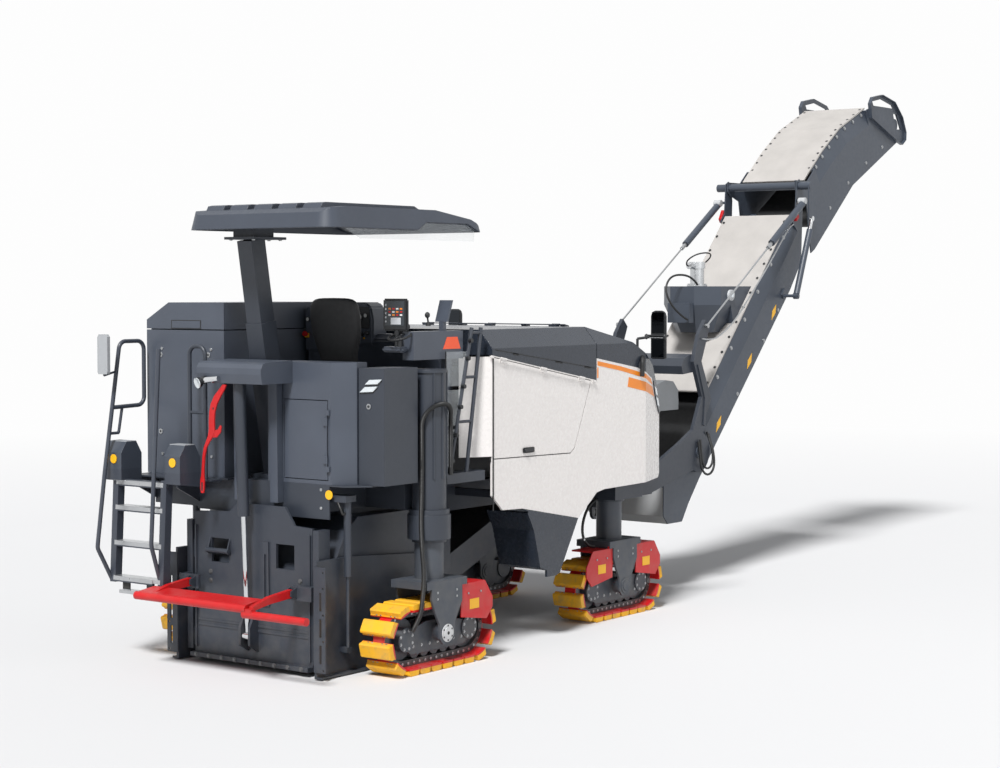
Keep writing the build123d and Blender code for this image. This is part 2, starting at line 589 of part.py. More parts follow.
# ---- Rear bumper --------------------------------------------------------------------------
with BuildPart() as rear_bumper:
    tube_x = BUMPER_TUBE_X
    bar((tube_x, -475, 575), (tube_x, 705, 575), 32)
    side_plate([(tube_x, 590), (tube_x + 12, 607), (tube_x + 180, 628), (tube_x + 180, 616),
                (tube_x + 12, 560)], -465, 690)
    for y in BUMPER_ARM_Y:
        side_plate([(tube_x, 565), (tube_x + 180, 595), (-1000, 613), (-1000, 677),
                    (tube_x + 180, 650), (tube_x, 600)], y - 20, y + 20)
        bar((BUMPER_PIVOT[0], y - 20, BUMPER_PIVOT[1]), (BUMPER_PIVOT[0], y + 20, BUMPER_PIVOT[1]), 32)
        bar((BUMPER_PIVOT[0], y - 21, BUMPER_PIVOT[1]), (BUMPER_PIVOT[0], y + 21, BUMPER_PIVOT[1]),
            12 + FIT, Mode.SUBTRACT)
    bar((tube_x, -1070, 535), (tube_x, -440, 535), 30)
    side_plate([(tube_x - 25, 530), (tube_x + 25, 530), (tube_x + 25, 580), (tube_x - 25, 580)],
               -540, -440)
finish(rear_bumper, "rear_bumper")

# ---- Engine bodywork ----------------------------------------------------------------------
BODY_PLAN = [(BODY_REAR - 260, -BODY_HALF + 140), (BODY_REAR, -BODY_HALF), (BODY_TAPER_X, -BODY_HALF),
             (BODY_NOSE, -BODY_NOSE_HALF), (BODY_NOSE, BODY_NOSE_HALF), (BODY_TAPER_X, BODY_HALF),
             (BODY_REAR, BODY_HALF), (BODY_REAR - 260, BODY_HALF - 140)]
INNER_PLAN = [(BODY_REAR - 300, -BODY_HALF + 140 + PANEL), (BODY_REAR + 3, -BODY_HALF + PANEL),
              (BODY_TAPER_X - 3, -BODY_HALF + PANEL), (BODY_NOSE - 14, -BODY_NOSE_HALF + PANEL),
              (BODY_NOSE + 40, -BODY_NOSE_HALF + PANEL + 10), (BODY_NOSE + 40, BODY_NOSE_HALF - PANEL - 10),
              (BODY_NOSE - 14, BODY_NOSE_HALF - PANEL), (BODY_TAPER_X - 3, BODY_HALF - PANEL),
              (BODY_REAR + 3, BODY_HALF - PANEL), (BODY_REAR - 300, BODY_HALF - 140 - PANEL)]
WHITE_EDGE = [(BODY_NOSE, 1880), (3220, 2145), (2880, 2250), (HOOD_SPLIT, 2350)]
WHITE_SIDE = [(480, 2405), (480, 1600), (BODY_REAR, 1600), (BODY_REAR, 1280), (880, 1155),
              (1150, 1145), (1960, 995), (2160, 1130), (2240, 1190), (2360, 1210),
              (BODY_NOSE - 40, 1225), (BODY_NOSE, 1260), *WHITE_EDGE, (HOOD_SPLIT, 2150),
              (BODY_REAR, 2405)]
DOOR_SIDE = [(BODY_REAR + 20, 2395), (BODY_REAR + 20, 1582), (1840, 1562), (1900, 1600),
             (2145, 2160)]
FENDER_SIDE = [(1150, 1145 - SEAT_GAP), (1960, 995 - SEAT_GAP), (1690, 560), (1640, 540), (1500, 540),
               (1500, 610),
               (1420, 640), (1330, 950), (1240, 1110)]


def body_skin(outline, side):
    """Side of the body cut to an outline: the wall between the outer and inner plan outlines."""
    with BuildPart() as skin:
        low, high = (0, BODY_HALF + 50) if side > 0 else (-BODY_HALF - 50, 0)
        plane = Plane(origin=(0, high, 0), x_dir=(1, 0, 0), z_dir=(0, -1, 0))
        with BuildSketch(plane):
            with BuildLine():
                Polyline(*shifted(outline), close=True)
            make_face()
        extrude(amount=high - low)
        with BuildSketch(Plane.XY.offset(0)):
            with BuildLine():
                Polyline(*shifted(BODY_PLAN), close=True)
            make_face()
        extrude(amount=3000, mode=Mode.INTERSECT)
        with BuildSketch(Plane.XY.offset(0)):
            with BuildLine():
                Polyline(*shifted(INNER_PLAN), close=True)
            make_face()
        extrude(amount=3000, mode=Mode.SUBTRACT)
    return skin.part


DOOR_HINGE_Y = BODY_HALF + 16.0


def door_axis(x):
    """Point of a side door's hinge line, which follows the door's sloping top edge."""
    rear, front = DOOR_SIDE[0], DOOR_SIDE[-1]
    return (x, rear[1] + 8 + (x - rear[0]) * (front[1] - rear[1]) / (front[0] - rear[0]))


def lowered(point, drop):
    """Point moved straight down."""
    return (point[0], point[1] - drop)


def at_y(point, y):
    """Side-view point placed at one Y."""
    return (point[0], y, point[1])


for side_name, side in (("left", 1), ("right", -1)):
    with BuildPart() as side_panel:
        add(body_skin(WHITE_SIDE, side))
        low, high = (800, 1300) if side > 0 else (-1300, -800)
        plane = Plane(origin=(0, high, 0), x_dir=(1, 0, 0), z_dir=(0, -1, 0))
        with BuildSketch(plane):
            with BuildLine():
                Polyline(*shifted(DOOR_SIDE), close=True)
            make_face()
            offset(amount=SHUT_LINE, kind=Kind.INTERSECTION)
        extrude(amount=high - low, mode=Mode.SUBTRACT)
        for start, end in ((705, 738), (2166, 2200)):
            side_plate([door_axis(start), door_axis(end), lowered(door_axis(end), 16),
                        lowered(door_axis(start), 16)],
                       *sorted((side * (BODY_HALF - 1), side * (DOOR_HINGE_Y + 5))))
        hinge_rod(at_y(door_axis(706), side * DOOR_HINGE_Y), at_y(door_axis(2199), side * DOOR_HINGE_Y))
    finish(side_panel, f"side_panel_{side_name}")
    with BuildPart() as side_door:
        add(body_skin(DOOR_SIDE, side))
        for start in (840, 1400, 1960):
            side_plate([door_axis(start), door_axis(start + 70), lowered(door_axis(start + 70), 34),
                        lowered(door_axis(start), 34)],
                       *sorted((side * (BODY_HALF - 1), side * DOOR_HINGE_Y)))
            knuckle(at_y(door_axis(start), side * DOOR_HINGE_Y),
                    at_y(door_axis(start + 70), side * DOOR_HINGE_Y))
        hinge_bore(at_y(door_axis(706), side * DOOR_HINGE_Y), at_y(door_axis(2199), side * DOOR_HINGE_Y))
    finish(side_door, f"side_door_{side_name}")

with BuildPart() as fenders:
    for side in (-1, 1):
        side_plate(FENDER_SIDE, *sorted((side * (BODY_HALF - PANEL), side * BODY_HALF)))
        inner_wall = [(1240, 1110), (1330, 950), (1420, 640), (1500, 610), (1500, 595), (1405, 628),
                      (1315, 945), (1225, 1100)]
        side_plate(inner_wall, *sorted((side * 700, side * BODY_HALF)))
finish(fenders, "fenders")

HOOD_AXIS = (HOOD_SPLIT - SHUT_LINE / 2, HOOD_TOP + 16)
with BuildPart() as hood_lid:
    section = [(-BODY_HALF, 2100), (-BODY_HALF, HOOD_SHOULDER), (-1000, HOOD_TOP), (1000, HOOD_TOP),
               (BODY_HALF, HOOD_SHOULDER), (BODY_HALF, 2100)]
    hollow = [(-BODY_HALF + PANEL, 2090), (-BODY_HALF + PANEL, HOOD_SHOULDER - 10),
              (-990, HOOD_TOP - PANEL), (990, HOOD_TOP - PANEL),
              (BODY_HALF - PANEL, HOOD_SHOULDER - 10), (BODY_HALF - PANEL, 2090)]
    end_plate(section, BODY_REAR, HOOD_SPLIT - SHUT_LINE)
    end_plate(hollow, BODY_REAR + PANEL, HOOD_SPLIT + 10, Mode.SUBTRACT)
    side_plate([(BODY_REAR - 1, 2000), (HOOD_SPLIT + 1, 2000), (HOOD_SPLIT + 1, 2160),
                (BODY_REAR - 1, 2415)], -BODY_HALF - 1, BODY_HALF + 1, Mode.SUBTRACT)
    for y in (-700, 0, 700):
        block((HOOD_SPLIT - 60, HOOD_AXIS[0]), (y - 40, y + 40), (HOOD_TOP - 1, HOOD_AXIS[1] + 4))
        knuckle(at_y(HOOD_AXIS, y - 40), at_y(HOOD_AXIS, y + 40))
    hinge_bore(at_y(HOOD_AXIS, -801), at_y(HOOD_AXIS, 801))
finish(hood_lid, "hood_lid")

with BuildPart() as hood_cowl:
    top = [(HOOD_SPLIT, HOOD_TOP), (2800, 2480), (3250, 2260), (BODY_NOSE, 1960)]
    side_plate(top + [(x, z + SEAT_GAP) for x, z in WHITE_EDGE], -BODY_HALF, BODY_HALF)
    end_plate([(-BODY_HALF, 1700), (-BODY_HALF, HOOD_SHOULDER), (-1000, HOOD_TOP), (1000, HOOD_TOP),
               (BODY_HALF, HOOD_SHOULDER), (BODY_HALF, 1700)], HOOD_SPLIT, BODY_NOSE, Mode.INTERSECT)
    with BuildSketch(Plane.XY.offset(0)):
        with BuildLine():
            Polyline(*shifted(BODY_PLAN), close=True)
        make_face()
    extrude(amount=3000, mode=Mode.INTERSECT)
    hollow = [(HOOD_SPLIT - 1, HOOD_TOP - PANEL), (2795, 2460), (3238, 2242), (BODY_NOSE - PANEL, 1948),
              (BODY_NOSE - PANEL, 1800), (HOOD_SPLIT - 1, 1800)]
    side_plate(hollow, -BODY_NOSE_HALF + 60, BODY_NOSE_HALF - 60, Mode.SUBTRACT)
    for y in (-770, -350, 350, 770):
        side_plate([(HOOD_AXIS[0] - 5, HOOD_AXIS[1] + 5), (HOOD_AXIS[0] - 5, HOOD_AXIS[1] - 5),
                    (HOOD_SPLIT + 6, HOOD_TOP - 12), (HOOD_SPLIT + 60, HOOD_TOP - 24),
                    (HOOD_SPLIT + 60, HOOD_AXIS[1] - 8)], y - 25, y + 25)
    hinge_rod(at_y(HOOD_AXIS, -790), at_y(HOOD_AXIS, 790))
finish(hood_cowl, "hood_cowl")

# ---- Operator's platform and cabinets -----------------------------------------------------
with BuildPart() as platform:
    plan_plate([(CABINET_REAR, -850), (-600, -1000), (-200, -1000), (-200, -900), (200, -900),
                (200, -1000), (600, -1000), (600, 350), (CABINET_REAR, 350)],
               DECK_Z - DECK_PLATE, DECK_Z)
    plan_plate([(-1000, 300), (SCRAPER_X - 25, 300), (SCRAPER_X - 25, SCRAPER_HALF + 30),
                (SCRAPER_X + SCRAPER_PLATE + 20, SCRAPER_HALF + 30),
                (SCRAPER_X + SCRAPER_PLATE + 20, 300), (CABINET_REAR + 1, 300), (CABINET_REAR + 1, 1200),
                (-1000, 1200)], DECK_Z - DECK_PLATE, DECK_Z)
    for y in (SCRAPER_HALF + 55, 1160):
        side_plate([(-1000, DECK_Z - DECK_PLATE), (CABINET_REAR, DECK_Z - DECK_PLATE),
                    (CABINET_REAR, 1250), (-1000, 1380)], y - 6, y + 6)
    block((CABINET_REAR, CABINET_REAR + 12), (-HOUSING_HALF, HOUSING_HALF), (1195, DECK_Z - DECK_PLATE))
    block((CABINET_REAR, CABINET_REAR + 12), (HOUSING_HALF - 1, 1180), (1215, DECK_Z - DECK_PLATE))
finish(platform, "operator_platform")

REAR_DOOR_AXIS = (CABINET_REAR - 15, -687)
with BuildPart() as rear_cabinet:
    plan_plate([(CABINET_REAR, -70), (CABINET_REAR, -720), (-600, -850), (-480, -850), (-480, -150),
                (-700, -70)], DECK_Z, CABINET_TOP)
    plan_plate([(CABINET_REAR + 15, -85), (CABINET_REAR + 15, -712), (-605, -835), (-495, -835),
                (-495, -165), (-705, -85)], DECK_Z + 15, CABINET_TOP - 15, Mode.SUBTRACT)
    block((CABINET_REAR - 1, CABINET_REAR + 16), (-690, -239), (DECK_Z + 30, 2105), Mode.SUBTRACT)
    for low, high in ((1560, 1600), (1990, 2030)):
        block((REAR_DOOR_AXIS[0] - 5, CABINET_REAR + 1), (-715, REAR_DOOR_AXIS[1] - 4), (low, high))
        block((REAR_DOOR_AXIS[0] - 5, REAR_DOOR_AXIS[0] + 5), (-715, REAR_DOOR_AXIS[1] + 5), (low, high))
    bar((*REAR_DOOR_AXIS, 1560), (*REAR_DOOR_AXIS, 2030), 5)
finish(rear_cabinet, "rear_cabinet")

with BuildPart() as cabinet_door:
    block((CABINET_REAR, CABINET_REAR + 15), (-684, -245), (DECK_Z + 36, 2099))
    for low in (1620, 1910):
        block((REAR_DOOR_AXIS[0], CABINET_REAR + 1), (REAR_DOOR_AXIS[1] + 3, -650), (low, low + 60))
        knuckle((*REAR_DOOR_AXIS, low), (*REAR_DOOR_AXIS, low + 60))
    hinge_bore((*REAR_DOOR_AXIS, 1560), (*REAR_DOOR_AXIS, 2030))
finish(cabinet_door, "rear_cabinet_door")

with BuildPart() as right_cabinet:
    plan_plate([(-600, -870), (-600, -1120), (-200, -1120), (-200, -1015), (-300, -870)],
               DECK_Z + SEAT_GAP, 2350)
    plan_plate([(-588, -882), (-588, -1108), (-212, -1108), (-212, -1020), (-306, -882)],
               1492, 2338, Mode.SUBTRACT)
finish(right_cabinet, "right_cabinet")

x0, x1, y0, y1 = LEFT_CABINET
LID_AXIS = (y1 + 16, LEFT_CABINET_TOP + SHUT_LINE / 2)
with BuildPart() as left_cabinet:
    block((x0, x1), (y0, y1), (DECK_Z, LEFT_CABINET_TOP))
    block((x0 + CABINET_WALL, x1 - CABINET_WALL), (y0 + CABINET_WALL, y1 - CABINET_WALL),
          (DECK_Z + CABINET_WALL, LEFT_CABINET_TOP + 1), Mode.SUBTRACT)
    opening = COLUMN_RADIUS + 25
    block((-opening, opening), (REAR_TRACK_Y - opening, y1 - CABINET_WALL), (DECK_Z - 1, DECK_Z + 16),
          Mode.SUBTRACT)
    for x in (-700, -160, 380):
        block((x - 20, x + 20), (y1 - 1, LID_AXIS[0] + 5), (LID_AXIS[1] - 24, LID_AXIS[1] - 5))
        block((x - 20, x + 20), (LID_AXIS[0] - 5, LID_AXIS[0] + 5), (LID_AXIS[1] - 24, LID_AXIS[1] + 5))
    hinge_rod((-719, *LID_AXIS), (399, *LID_AXIS))
finish(left_cabinet, "left_cabinet")

with BuildPart() as left_lid:
    lid = [(y1, LEFT_CABINET_TOP + SHUT_LINE), (y1, 2700), (y1 - 250, LID_TOP), (y0, LID_TOP),
           (y0, LEFT_CABINET_TOP + SHUT_LINE)]
    end_plate(lid, x0, x1)
    under = [(y1 - 15, LEFT_CABINET_TOP), (y1 - 15, 2690), (y1 - 255, LID_TOP - 15),
             (y0 + 15, LID_TOP - 15), (y0 + 15, LEFT_CABINET_TOP)]
    end_plate(under, x0 + 15, x1 - 15, Mode.SUBTRACT)
    for x in (-640, 260):
        block((x, x + 80), (y1 - 1, LID_AXIS[0]), (LID_AXIS[1] + 5, LID_AXIS[1] + 40))
        knuckle((x, *LID_AXIS), (x + 80, *LID_AXIS))
    hinge_bore((-720, *LID_AXIS), (400, *LID_AXIS))
finish(left_lid, "left_cabinet_lid")

DASH_HUMPS = ((-820, -560), (100, 340))
with BuildPart() as dash:
    side_plate([(480, DECK_Z), (620, DECK_Z), (620, 2600), (590, 2640), (430, 2640), (380, 2560),
                (470, 2300)], -820, 340)
    for low, high in DASH_HUMPS:
        hump = [(low, 2500), (low, 2715), (low + 20, 2752), (low + 60, 2778), (high - 60, 2778),
                (high - 20, 2752), (high, 2715), (high, 2500)]
        end_plate(hump, 400, 600)
finish(dash, "dash_console")

with BuildPart() as arm_console:
    block((-200, 420), (-1080, -970), (2400, 2620))
    block((230, 290), (-1050, -1010), (1500 + SEAT_GAP, 2401))
    block((215, 255), (-1040, -1000), (2619, 2700))
    side_plate([(215, 2690), (235, 2690), (295, 2860), (275, 2860)], -1080, -960)
finish(arm_console, "control_console")

with BuildPart() as seat:
    block((-240, 180), (-620, -180), (1980, 2080))
    side_plate([(-240, 2080), (-170, 2080), (-220, 2880), (-290, 2880), (-300, 2300)], -600, -200)
    bar((-30, -400, DECK_Z), (-30, -400, 1980), 60)
finish(seat, "operator_seat")

# ---- Canopy and its telescopic mast -------------------------------------------------------
def mast_point(z):
    """Centre of the leaning mast at one height."""
    return (MAST_FOOT_X + MAST_LEAN * (z - DECK_Z), MAST_Y, z)


def mast_tube(z_from, z_to, half_size, mode=Mode.ADD):
    """Square tube along the mast's leaning centre line."""
    foot, head = Vector(*mast_point(z_from)), Vector(*mast_point(z_to))
    shift = Vector(REAR_AXLE_X, 0, 0)
    with BuildSketch(Plane(origin=foot + shift, x_dir=(0, 1, 0), z_dir=head - foot)) as section:
        Rectangle(2 * half_size, 2 * half_size)
    extrude(section.sketch, amount=(head - foot).length, mode=mode)


with BuildPart() as mast:
    mast_tube(DECK_Z + 30, 2690, 85)
    mast_tube(DECK_Z + 45, 2720, 77, Mode.SUBTRACT)
    plan_plate([(MAST_FOOT_X - 180, -40), (MAST_FOOT_X + 170, -40), (MAST_FOOT_X + 170, 220),
                (MAST_FOOT_X - 180, 220)], DECK_Z, DECK_Z + 32)
finish(mast, "canopy_mast")

with BuildPart() as mast_slider:
    mast_tube(2150, 3331, 77 - FIT)
    head_x = mast_point(3340)[0]
    block((head_x - 160, head_x + 200), (MAST_Y - 190, MAST_Y + 130), (3330, 3350))
    block((head_x - 100, head_x + 120), (MAST_Y - 130, MAST_Y + 90), (3350, CANOPY_CEILING - SEAT_GAP))
finish(mast_slider, "canopy_slider")

cx0, cx1, cy0, cy1 = CANOPY
CANOPY_SKIN = CANOPY_TOP - CANOPY_RIB
RIB_COUNT = 5


def roof_body(outline, inset, corner):
    """Roof form: a side profile cut to the rounded plan, whose edges lean in towards the top."""
    with BuildPart() as body:
        side_plate(outline, cy0 - 10, cy1 + 10)
        with BuildSketch(Plane.XY.offset(CANOPY_BOTTOM - 5)):
            with Locations(((cx0 + cx1) / 2 + REAR_AXLE_X, (cy0 + cy1) / 2)):
                RectangleRounded(cx1 - cx0 - 2 * inset, cy1 - cy0 - 2 * inset, corner)
        extrude(amount=CANOPY_TOP - CANOPY_BOTTOM + 10, taper=14, mode=Mode.INTERSECT)
    return body.part


with BuildPart() as canopy:
    outside = [(cx0 - 5, CANOPY_BOTTOM), (cx0 - 5, CANOPY_SKIN - 70), (cx0 + 80, CANOPY_SKIN - 14),
               (cx0 + 250, CANOPY_SKIN), (cx0 + 1290, CANOPY_SKIN), (cx1 - 190, CANOPY_SKIN - 62),
               (cx1 + 5, CANOPY_BOTTOM + 22), (cx1 + 5, CANOPY_BOTTOM)]
    add(roof_body(outside, 0, 150))
    rib_pitch = (cy1 - cy0 - 260) / RIB_COUNT
    for index in range(RIB_COUNT):
        rib_y = cy0 + 130 + rib_pitch * (index + 0.5)
        rib = [(cx0 + 60, CANOPY_SKIN - 60), (cx0 + 110, CANOPY_TOP - 8), (cx0 + 150, CANOPY_TOP),
               (cx0 + 1180, CANOPY_TOP), (cx0 + 1400, CANOPY_SKIN - 60)]
        side_plate(rib, rib_y - rib_pitch * 0.36, rib_y + rib_pitch * 0.36)
    inside = [(cx0 + 26, CANOPY_BOTTOM - 1), (cx0 + 26, CANOPY_SKIN - 90), (cx0 + 98, CANOPY_CEILING - 10),
              (cx0 + 255, CANOPY_CEILING), (cx0 + 1280, CANOPY_CEILING), (cx1 - 205, CANOPY_SKIN - 96),
              (cx1 - 60, CANOPY_BOTTOM + 14), (cx1 - 60, CANOPY_BOTTOM - 1)]
    add(roof_body(inside, CANOPY_SHELL, 120), mode=Mode.SUBTRACT)
    side_plate([(-160, CANOPY_BOTTOM - 1), (-40, CANOPY_BOTTOM + 60), (480, CANOPY_BOTTOM + 60),
                (620, CANOPY_BOTTOM - 1)], cy0 - 1, cy0 + 90, Mode.SUBTRACT)
finish(canopy, "canopy_roof")

# ---- Ladder, rails and side steps ---------------------------------------------------------
with BuildPart() as ladder:
    for stringer_y, low, high in ((1170, 1075, 1260), (630, 420, 590)):
        rail_y = stringer_y + 30
        if stringer_y > 1000:
            bent_tube([(-1215, rail_y, 640), (-1365, rail_y, 900), (-1280, rail_y, 1500),
                       (-1110, rail_y, 2530), (-850, rail_y, 2530), (-850, rail_y, 2015),
                       (-1195, rail_y, 2005)], 17, 70)
            bar((-1230, rail_y, 1800), (-1130, rail_y, 1800), 12)
            bar((-1130, rail_y, 1800), (-1090, rail_y, 2005), 12)
        else:
            bent_tube([(-1205, rail_y, 2480), (-1300, rail_y, 950), (-1200, rail_y, 640)], 17, 120)
        side_plate([(-1235, 620), (-1165, 620), (-1120, 1450), (-1190, 1450)], stringer_y - 30,
                   stringer_y + 30)
        side_plate([(-1220, 1430), (-1000 - SEAT_GAP, 1400), (-1000 - SEAT_GAP, 1640), (-1060, 1740),
                    (-1160, 1740), (-1220, 1650)], low, high)
    block((-1180, -1150), (589, 1076), (1400, 1440))
    for z in (640, 920, 1200, 1400):
        lean = (z - 640) * 0.06
        block((-1230 + lean, -1130 + lean), (640, 1160), (z, z + 30))
        block((-1236 + lean, -1229 + lean), (720 if z < 700 else 640, 1160), (z - 14, z + 30))
    for y in (730, 1000):
        block((-1210, -1200), (y, y + 80), (560, 641))
    block((-1230, -1150), (720, 1100), (535, 561))
    bar((-1160, 1200, 2290), (-1300, 1175, 2265), 9)
    bar((-1302, 1175, 2265), (-1302, 1175, 2300), 9)
    end_plate([(1128, 2275), (1222, 2275), (1232, 2290), (1232, 2570), (1215, 2590), (1135, 2590),
               (1118, 2570), (1118, 2290)], -1318, -1288)
finish(ladder, "rear_ladder")

STEP_POSTS = ((210.0, 500.0), (430.0, 620.0))
with BuildPart() as side_step:
    for foot, head in STEP_POSTS:
        bar((foot, -1105, 1499), (head, -1105, 2640), 16)
    for z in (1900, 2250, 2600):
        near, far = (foot + (head - foot) * (z - 1499) / 1141 for foot, head in STEP_POSTS)
        bar((near, -1105, z), (far, -1105, z), 12)
    block((COLUMN_RADIUS + 15, 640), (-1130, -1000 - SEAT_GAP), (DECK_Z - 40, 1500))
finish(side_step, "side_step_ladder")

with BuildPart() as handrails:
    bent_tube([(-960, 400, DECK_Z + SEAT_GAP), (-960, 400, 2500), (-960, 570, 2500),
               (-960, 570, DECK_Z + SEAT_GAP)], 17, 70)
    bar((-960, 400, 1980), (-960, 570, 1980), 12)
finish(handrails, "handrails")

with BuildPart() as mirrors:
    for side in (-1, 1):
        arm_y = side * (BODY_HALF - 130)
        bar((3080, arm_y, 2349.5), (3080, arm_y, 2480), 12)
        block((3060, 3110), (arm_y - 80, arm_y + 80), (2470, 2740))
finish(mirrors, "mirrors")

# ---- Primary conveyor under the machine ---------------------------------------------------
with BuildPart() as primary:
    wall_outline = [primary_line(0, PRIMARY_LOW), primary_line(PRIMARY_LENGTH, PRIMARY_LOW),
                    primary_line(PRIMARY_LENGTH, PRIMARY_HIGH), primary_line(0, PRIMARY_HIGH)]
    for low, high in both_sides(360, 372):
        side_plate(wall_outline, low, high)
    for share in (0.15, 0.4, 0.65, 0.9):
        x, z = primary_line(PRIMARY_LENGTH * share, -10)
        bar((x, -361, z), (x, 361, z), 40)
    for distance in (130, PRIMARY_LENGTH - 130):
        x, z = primary_line(distance, -10)
        bar((x, -361, z), (x, 361, z), 85 - BELT_THICK - SEAT_GAP)
    hood = [(4260, 1950), (4400, 2020), (4560, 2056), (4700, 2040), (4780, 1960), (4796, 1860),
            (4796, 1760), (4776, 1760), (4776, 1855), (4763, 1950), (4693, 2022), (4562, 2037),
            (4407, 2001), (4270, 1932)]
    side_plate(hood, -372, 372)
    hood_cheek = [(4260, 1940), (4400, 2010), (4560, 2046), (4700, 2030), (4790, 1950), (4790, 1760),
                  (4300, 1760)]
    for low, high in both_sides(360, 372):
        side_plate(hood_cheek, low, high)
finish(primary, "primary_conveyor")


def belt_loop(first, last, radius, half):
    """Flat belt round two drums whose centres are given, with its outer radius at the drums."""
    run_x, run_z = last[0] - first[0], last[1] - first[1]
    middle = ((first[0] + last[0]) / 2 + REAR_AXLE_X, half, (first[1] + last[1]) / 2)
    plane = Plane(origin=middle, x_dir=(run_x, 0, run_z), z_dir=(0, -1, 0))
    with BuildSketch(plane) as section:
        SlotCenterToCenter(hypot(run_x, run_z), 2 * radius)
        SlotCenterToCenter(hypot(run_x, run_z), 2 * (radius - BELT_THICK), mode=Mode.SUBTRACT)
    extrude(section.sketch, amount=2 * half)


with BuildPart() as primary_belt:
    belt_loop(primary_line(130, -10), primary_line(PRIMARY_LENGTH - 130, -10), 85, BELT_HALF)
finish(primary_belt, "primary_belt")

# ---- Slewing yoke -------------------------------------------------------------------------
LUFF_ANCHOR = (5080.0, 2580.0)
LUFF_TOP = (7080.0, 3880.0)
with BuildPart() as yoke:
    bar((SLEW_X, 0, SLEW_Z[0]), (SLEW_X, 0, SLEW_Z[1]), SLEW_HUB_RADIUS)
    beam_plan = [(SLEW_X - 90, -180), (SLEW_X + 60, -YOKE_ARM_Y[1]), (SLEW_X + 260, -YOKE_ARM_Y[1]),
                 (SLEW_X + 260, -YOKE_ARM_Y[0]), (SLEW_X + 110, -120), (SLEW_X + 110, 120),
                 (SLEW_X + 260, YOKE_ARM_Y[0]), (SLEW_X + 260, YOKE_ARM_Y[1]),
                 (SLEW_X + 60, YOKE_ARM_Y[1]), (SLEW_X - 90, 180)]
    plan_plate(beam_plan, SLEW_Z[0] + 30, SLEW_Z[1] - 20)
    arm = [(SLEW_X + 200, SLEW_Z[0] + 30), (LUFF_X + 60, 1200), (LUFF_X + 130, 1290),
           (LUFF_X + 110, 1480), (5020, 1560), (5200, 1850), (5010, 2230), (5160, 2560), (5080, 2640),
           (4960, 2500), (4860, 2230), (5020, 1880), (4860, 1560), (4600, 1440),
           (SLEW_X + 200, SLEW_Z[1] - 20)]
    for low, high in both_sides(*YOKE_ARM_Y):
        side_plate(arm, low, high)
        bar((LUFF_X, low, LUFF_Z), (LUFF_X, high, LUFF_Z), LUFF_BOSS)
        side_plate([(5035, 1600), (5065, 1590), (5120, 1850), (4965, 2200), (4925, 2200), (5060, 1860)],
                   low - 12, high + 12)
        bar((LUFF_X, low - 1, LUFF_Z), (LUFF_X, high + 1, LUFF_Z), LUFF_PIN_RADIUS + FIT, Mode.SUBTRACT)
    side_plate([(4700, 2190), (4745, 2265), (4870, 2305), (4960, 2290), (4960, 2130), (4725, 2110)],
               -YOKE_ARM_Y[0] - 1, YOKE_ARM_Y[0] + 1)
    bar((SLEW_X, 0, SLEW_Z[0] - 1), (SLEW_X, 0, SLEW_Z[1] + 1), SLEW_PIN_RADIUS + FIT, Mode.SUBTRACT)
finish(yoke, "slewing_yoke")

# ---- Discharge conveyor, lower section ----------------------------------------------------
LOWER_WALL = [(4420, 740), (4500, 660), (4760, 660), (4880, 830), (5080, 1060), (6920, 2930),
              (7160, 3230), (7190, 3900), (7165, 4080), (7110, 4110), (7055, 4080), (7030, 3760),
              (5000, 1610), (4720, 1350), (4420, 1200)]
LOWER_TAIL = (4640.0, 870.0)
LOWER_HEAD = (6980.0, 3350.0)
DRUM_OUTER = 105.0
FOLD_BASE = (6770.0, 2870.0)
FOLD_EYE = (7110.0, 3690.0)
FOLD_CYLINDER_Y = -LOWER_HALF - 154.0


def wall_top(x, rise):
    """Point over the lower section's upper wall edge."""
    low, high = (5000, 1610), (7030, 3760)
    return (x, low[1] + (x - low[0]) * (high[1] - low[1]) / (high[0] - low[0]) + rise)


STRIP_REACH = 110.0
COVER_INSET = STRIP_LEAN - 6.0


def leaning_strip(first, last, half, ends):
    """Strips of both side walls above their bend line, leaning in, with a gusset at the listed ends."""
    run = hypot(last[0] - first[0], last[1] - first[1])
    for side in (-1, 1):
        section = [(side * half, -STRIP_HEIGHT), (side * (half - CONVEYOR_WALL), -STRIP_HEIGHT),
                   (side * (half - STRIP_LEAN - CONVEYOR_WALL), 0), (side * (half - STRIP_LEAN), 0)]
        gusset = [(side * half, -STRIP_HEIGHT), (side * (half - CONVEYOR_WALL), -STRIP_HEIGHT),
                  (side * (half - STRIP_LEAN - CONVEYOR_WALL), 0), (side * half, 0)]
        for outline, start, length in [(section, 0, run)] + [(gusset, at * (run - 12), 12) for at in ends]:
            x, z = toward(first, last, start)
            plane = Plane(origin=(x + REAR_AXLE_X, 0, z), x_dir=(0, 1, 0),
                          z_dir=(last[0] - first[0], 0, last[1] - first[1]))
            extrude(face_of(plane, outline), amount=length)


